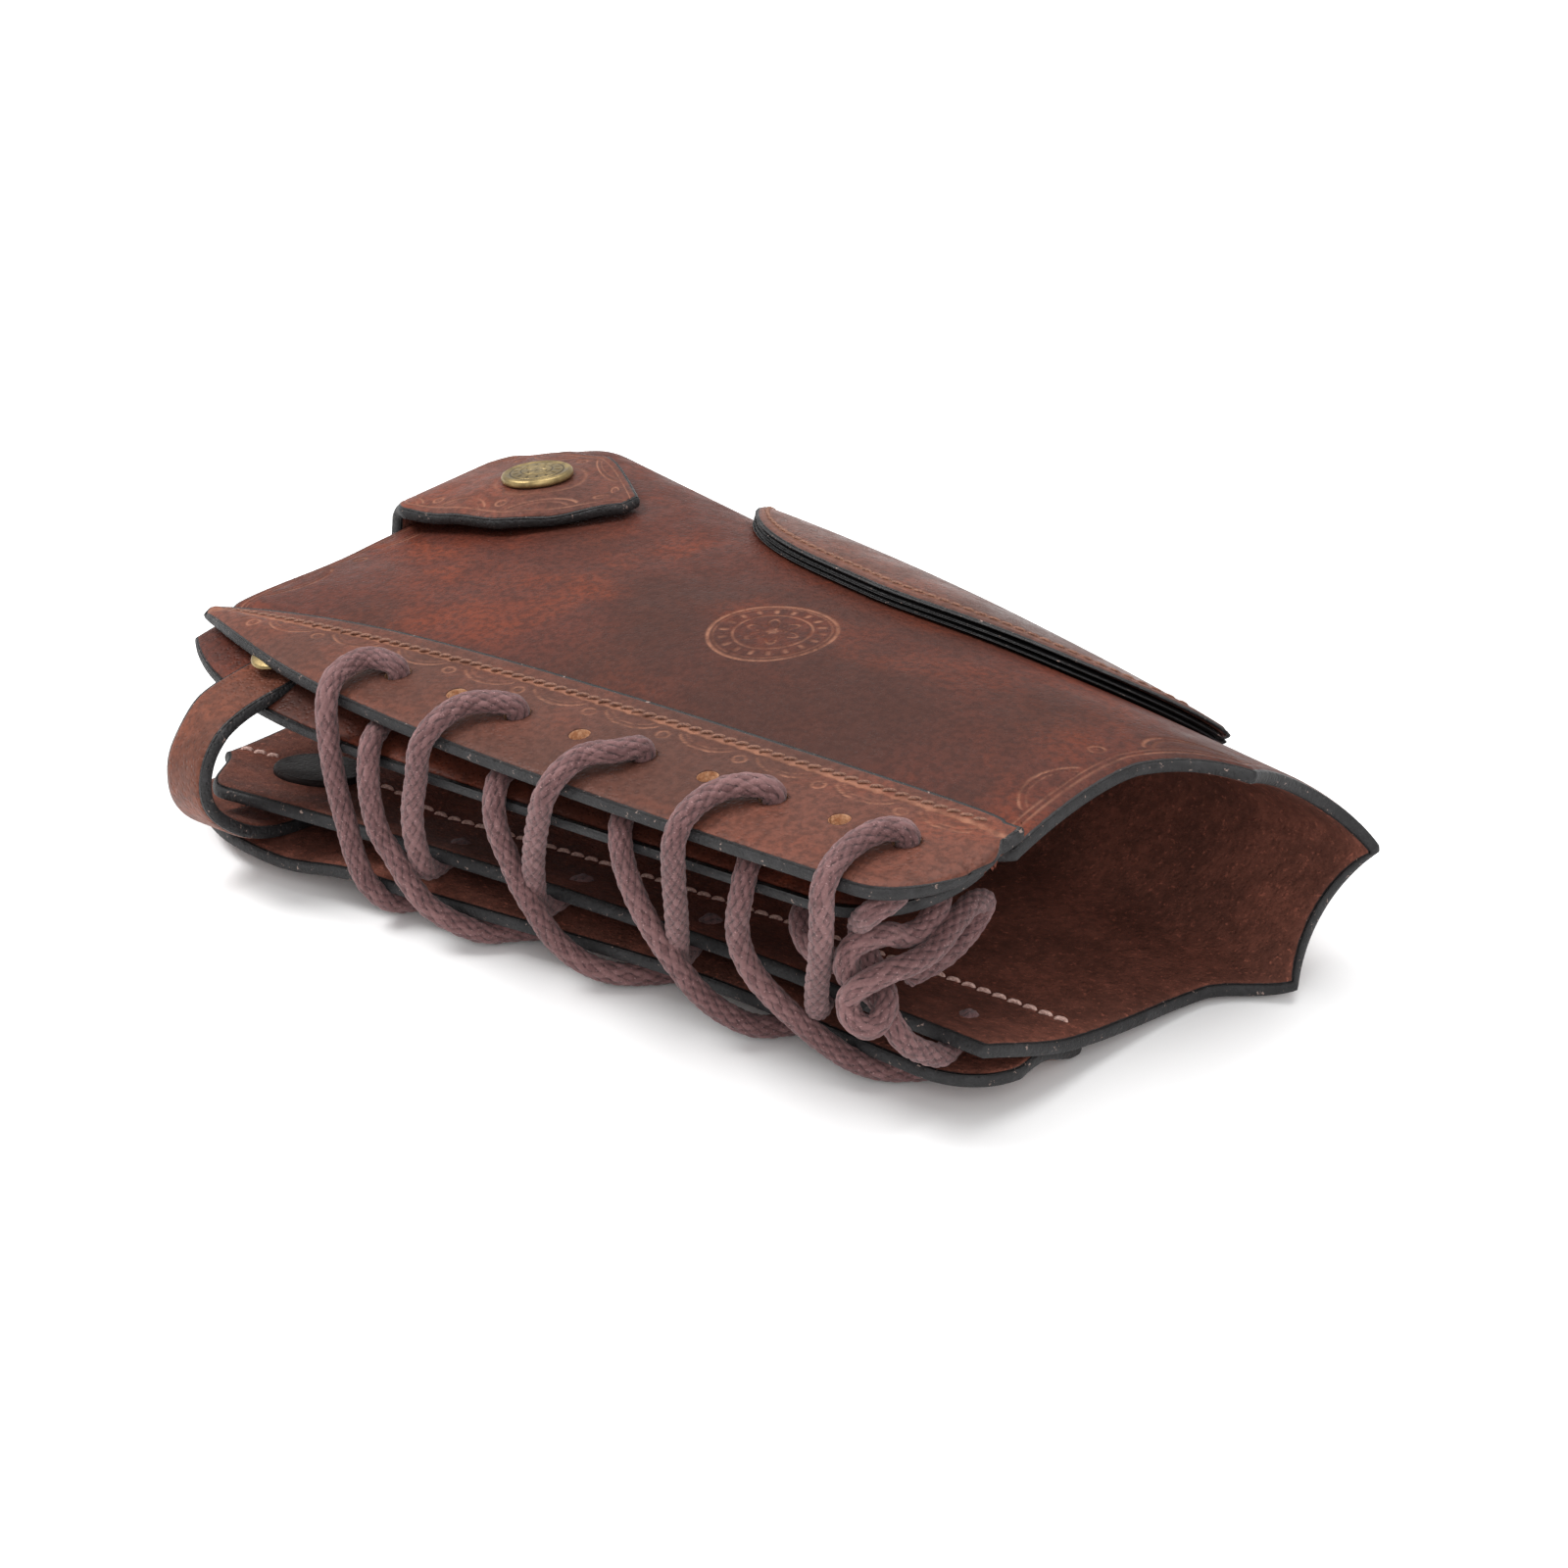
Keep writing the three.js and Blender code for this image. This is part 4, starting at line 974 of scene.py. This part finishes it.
def build_toe_rivet():
    place, axis = panel_spot(RIVET_X, RIVET_K)
    t = np.linspace(0, math.pi / 2, 8)
    face = np.linspace(4.8, 0.05, 20)
    radii = [1.3, 1.3, 4.9, *(4.9 + 0.3 * np.sin(t)), *face]
    heights = [-6.4, 0, 0, *(0.3 - 0.3 * np.cos(t)), *(0.35 + 0.75 * (1 - (face / 5) ** 2) + 0.25)]
    place = place + axis * (LEATHER * 1.5 + 0.5)
    settle(turned_piece("toe_rivet_upper_brass", radii, heights, place, axis, BRASS), "toe_rivet_upper")


# ------------------------------------------------------------------ toe strap
# the loop's two edges, from under the upper strip round to the disc
TOE_NEAR = [
    [35, 1, 37.6], [35, -6, 36.9], [34.4, -12, 36.2], [33.6, -18.3, 35.4], [33, -22.4, 34.5],
    [33, -28, 32.8], [33, -31.9, 29.4], [33, -33.7, 25], [33, -33.5, 21], [33, -31.8, 17.7],
    [33, -28.4, 14.2], [33, -23.5, 10.7], [33, -17, 8], [33, -9.6, 6.6], [33, -2, 6], [33, 6, 5.4],
]
TOE_FAR = [
    [22, 0, 37.6], [22, -5, 36.7], [21.4, -10, 35.8], [21, -13.9, 35.3], [21, -17.5, 35],
    [21, -22.1, 33.8], [21, -26.5, 30.2], [21, -29.7, 26], [21, -30.5, 21.9], [21, -29.9, 17.6],
    [21, -27.5, 13.9], [21, -20.5, 9.2], [21, -14.6, 7.4], [21, -7.7, 6.3], [21, -1, 5.8], [21, 6, 5.4],
]


def build_toe_strap():
    near, far = curve(TOE_NEAR, 220)[0], curve(TOE_FAR, 220)[0]
    v = np.linspace(0, 1, 40)[None, :, None]
    mid = far[:, None] * (1 - v) + near[:, None] * v
    nrm = unit(np.cross(np.gradient(mid, axis=0), np.gradient(mid, axis=1)))
    if nrm[110, 20, 1] > 0:
        nrm = -nrm
    obj = leather_sheet("toe_strap_leather", mid, nrm, STRAP_BROWN, turned=True)
    settle(obj, "toe_strap")


def build_disc():
    place, axis = panel_spot(DISC_X, DISC_K)
    t = np.linspace(0, math.pi / 2, 8)
    face = np.linspace(0, 1, 30)
    radii = [8.7, *(8.6 + 0.4 * np.sin(t)), *(8.4 + 0.6 * np.cos(t)), *np.linspace(8.2, 0.05, 30)]
    heights = [0.0, *(0.3 - 0.3 * np.cos(t)), *(0.8 + 0.6 * np.sin(t)), *(1.4 + 0.1 * face)]
    obj = turned_piece("toe_disc_leather", radii, heights, place - axis * (LEATHER / 2 + 0.1), -axis, DISC)
    settle(obj, "toe_backing_disc")


# ------------------------------------------------------------------ lacing cord
# from a hole in the upper strip over its edge and down the front, one run a used hole
OVER_EDGE = [
  [[54.7, -11.7, 47.8], [52.8, -18.2, 46.3], [53.4, -21.6, 43.3], [53.4, -22, 35.9],
    [54.6, -22.2, 27.2], [56.8, -22.4, 19], [58.8, -22.6, 12.5], [61.2, -22.2, 7.6], [63.8, -18.4, 3]],
  [[87.3, -16.1, 49.2], [83.4, -18.8, 48.6], [81.6, -24.4, 46.6], [80.2, -27, 43],
    [78, -26.2, 35.5], [75.4, -24.8, 27.8], [73.6, -22.4, 19.8], [72.6, -18.6, 12.6]],
  [[118.7, -20.6, 49.9], [114.4, -23.8, 49.2], [112.8, -29, 47.2], [111, -30.8, 43.2],
    [107.9, -29, 36.5], [104.6, -26.2, 29.8], [101.2, -22.6, 21.6], [98.8, -18.2, 12.6]],
  [[145.4, -20.6, 51], [142.1, -24.4, 50.2], [141, -30.8, 48.4], [140.4, -33.2, 45],
    [138.5, -31.2, 37], [135.9, -27.2, 27.6], [132.8, -22.8, 19], [129.6, -18.4, 11.8]],
  [[174.6, -21.8, 51.8], [172.2, -26.4, 51], [171.4, -32, 49.2], [171.4, -35.4, 46.4],
    [170.1, -34, 38.8], [167.6, -30.6, 29.9], [164, -26.2, 21.2], [160.2, -20.2, 13]],
]
# from between the edges down to the lower strip
OUT_OF_GAP = [
  [[62.2, -17.4, 38.2], [64, -22.2, 37.2], [65, -24.4, 33.4], [64.9, -24.2, 26.6],
    [66.4, -24, 20.4], [69.4, -23.8, 16.4], [72.6, -23.4, 11.6], [76, -22.8, 8],
    [80.2, -20.8, 5], [84.6, -17.4, 2.6], [88, -13.4, 2.2]],
  [[93, -18.8, 39], [94.6, -23.8, 38.2], [95.6, -26, 34.4], [95.9, -25.2, 29],
    [97.2, -24.4, 24.6], [99, -23.8, 19.6], [101.6, -23, 14.8], [104.2, -21.2, 9.2],
    [108.8, -18.2, 4.2], [114.6, -14.6, 2.2]],
  [[121.4, -20.6, 40.2], [123.2, -25.6, 39], [125.4, -28, 34.4], [127.4, -26.8, 26.4],
    [130.4, -25.2, 19.4], [133.8, -24, 14.2], [137.4, -22.6, 9.4], [141.2, -20, 5.4],
    [145.6, -15.6, 2.3]],
  [[149, -21.6, 41.4], [150.6, -27, 40], [151, -29.6, 35.2], [149.3, -28.2, 28.8],
    [149.4, -27, 23.6], [151.4, -25.8, 18.8], [154.6, -24.6, 15], [158.8, -23, 11],
    [163, -21.2, 7.4], [167, -18.4, 4], [172, -14.6, 2.2]],
]
# the cord's two ends, from the last holes through the knot
KNOT_UPPER = [
  [178.7, -25.4, 42.6], [177.9, -31, 41.8], [174, -28.4, 37.6], [171.8, -25.2, 34], [171.5, -24.1, 31.2],
  [173.2, -23.8, 27.3], [176.2, -25.2, 25.1], [178.8, -28.1, 23], [178.2, -31.4, 20.8],
  [175.4, -32.3, 21.6], [173.8, -31.7, 24.3], [175.4, -31.6, 27.2], [177.7, -29.8, 29],
  [179, -27.1, 29.6], [180.6, -23.6, 29.8], [181.8, -18.6, 30.6], [181.6, -12.4, 32.4],
  [180.6, -5, 32.6], [179.4, 1, 29.6], [178.2, -1.6, 25.4], [177.6, -9, 23.4], [175.8, -16.6, 22.8],
]
KNOT_LOWER = [
  [183, -16.8, 10.2], [182.6, -22, 13], [181.6, -26.2, 16.6], [179.8, -27.6, 20], [177, -26.6, 22.6],
  [174.6, -26.2, 24], [173, -28.8, 26.4], [172.4, -30.4, 29.6], [173, -29.8, 33],
  [175, -27.7, 34.6], [176.6, -24.5, 34.4], [177.8, -21.4, 33], [178.8, -18, 33],
  [178.6, -12, 35.2], [174, -8, 35.6], [164, -12, 33.6], [157, -20, 30.6], [160.6, -24, 27.4],
  [167.4, -25.4, 26.6],
]


def hole_points(i, upper):
    p, n = hole_frame(i, upper)
    inside, outside = p - n * (3.4 if upper else 3.6), p + n * (2.8 if upper else 3.4)
    return [inside, p, outside] if upper else [outside, p, inside]


def cord_runs():
    """The cord as two runs that zigzag from the knot at the mouth to the last holes at the butt end."""
    down = lambda i: hole_points(i, True) + OVER_EDGE[(i - 1) // 2]
    up = lambda i: hole_points(i, False)
    first = KNOT_UPPER[::-1] + down(9) + up(7)[::-1] + OUT_OF_GAP[2][::-1]
    first += down(5) + up(3)[::-1] + OUT_OF_GAP[0][::-1] + down(1) + up(1)
    second = KNOT_LOWER[::-1] + up(9)[::-1] + OUT_OF_GAP[3][::-1]
    second += down(7) + up(5)[::-1] + OUT_OF_GAP[1][::-1] + down(3) + up(1)[::-1]
    return first, second


def braid(path, length, around):
    """Woven surface of a braided cord: two sets of strands pass over and under each other."""
    s = np.linspace(0, length, len(path))[:, None]
    a = np.arange(around)[None] / around
    cells, lay = 8, 3.4
    p = a * cells + s / lay
    q = a * cells - s / lay
    over = (np.floor(p) + np.floor(q)) % 2 > 0.5
    hump = lambda f, g: (np.sin(np.pi * f) ** 0.6) * (0.55 + 0.45 * np.sin(np.pi * g))
    height = np.where(over, hump(p % 1, q % 1), hump(q % 1, p % 1))
    # each strand keeps its own lightness
    tone = 0.5 + 0.5 * np.where(over, np.sin(np.floor(p) * 12.9898), np.sin(np.floor(q) * 78.233))
    return height, tone


def cord_piece(points):
    around = 48
    length = curve(points, 10)[1]
    path, length = curve(points, max(30, int(length / 0.42)))
    height, tone = braid(path, length, around)
    verts, faces = tube(path, CORD_R - 0.22, around, 0.34 * height - 0.08)
    ends = [0.5, 0.5]
    return verts, faces, np.concatenate([height.ravel(), ends]), np.concatenate([tone.ravel(), ends])


def build_cord():
    verts, faces, strands, tones = zip(*[cord_piece(run) for run in cord_runs()])
    # the braid's height also drives the cord's painted shade between its strands
    attributes = {"strand": np.concatenate(strands), "tone": np.concatenate(tones)}
    obj = add_object("lacing_cord_braid", *join(zip(verts, faces)), CORD, attributes)
    settle(obj, "lacing_cord")


# ------------------------------------------------------------------ build it
build_main_panel()
build_strip(True)
build_strip(False)
build_strip_threads()
build_pad()
build_heel_strap()
build_snap_cap()
build_toe_rivet()
build_toe_strap()
build_disc()
build_cord()

# small metal and hidden pieces keep their CAD shape
KEPT = {
    "heel_strap_thread": INNER_SEAM,
    "heel_snap_socket": BRASS,
    "heel_snap_stud": BRASS,
    "heel_snap_washer": BRASS,
    "toe_rivet_lower": BRASS,
    "toe_rivet_washer": BRASS,
}
for node, material in KEPT.items():
    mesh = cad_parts[node].data
    mesh.materials.clear()
    mesh.materials.append(material)

# ------------------------------------------------------------------ floor, light, camera
low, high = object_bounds()
bpy.ops.mesh.primitive_plane_add(size=3.6, location=(0, 0, low[2] - 0.0002))
floor = bpy.context.object
floor.name = "floor"
floor.data.materials.append(floor_material())
floor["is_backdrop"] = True

# the backdrop is white to the camera and dimmer as a light
AMBIENT = 0.72
world = bpy.data.worlds.new("studio")
bpy.context.scene.world = world
world.use_nodes = True
backdrop = world.node_tree.nodes["Background"]
backdrop.inputs["Color"].default_value = (1, 1, 1, 1)
seen = world.node_tree.nodes.new("ShaderNodeLightPath")
strength = world.node_tree.nodes.new("ShaderNodeMath")
strength.operation = "MULTIPLY_ADD"
strength.inputs[1].default_value = 1 - AMBIENT
strength.inputs[2].default_value = AMBIENT
world.node_tree.links.new(seen.outputs["Is Camera Ray"], strength.inputs[0])
world.node_tree.links.new(strength.outputs[0], backdrop.inputs["Strength"])


def area(name, location, target, size, power):
    light = bpy.data.lights.new(name, "AREA")
    light.shape = "DISK"
    light.size = size
    light.energy = power
    obj = bpy.data.objects.new(name, light)
    obj.location = location
    obj.rotation_mode = "QUATERNION"
    obj.rotation_quaternion = (Vector(target) - Vector(location)).to_track_quat("-Z", "Y")
    bpy.context.collection.objects.link(obj)


area("key", (-0.55, -0.35, 0.95), (0.05, 0, 0.02), 0.5, 10)
area("fill", (0.9, -0.9, 0.7), (0.05, 0, 0.02), 0.9, 6)
area("top", (0.15, 0.25, 1.3), (0.05, 0, 0), 0.9, 9)

camera = bpy.data.cameras.new("camera")
camera.sensor_width = 36
camera.lens = 73.0
camera.clip_start, camera.clip_end = 0.01, 50
holder = bpy.data.objects.new("camera", camera)
azimuth, tilt = math.radians(34.78), math.radians(26.2)
ahead = Vector((-math.sin(azimuth) * math.cos(tilt), math.cos(azimuth) * math.cos(tilt), -math.sin(tilt)))
holder.rotation_mode = "QUATERNION"
holder.rotation_quaternion = ahead.to_track_quat("-Z", "Y")
holder.location = (0.3961, -0.4775, 0.2834)
bpy.context.collection.objects.link(holder)
bpy.context.scene.camera = holder
bpy.context.scene.view_settings.view_transform = "Standard"
bpy.context.scene.view_settings.exposure = 0.0

low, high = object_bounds()
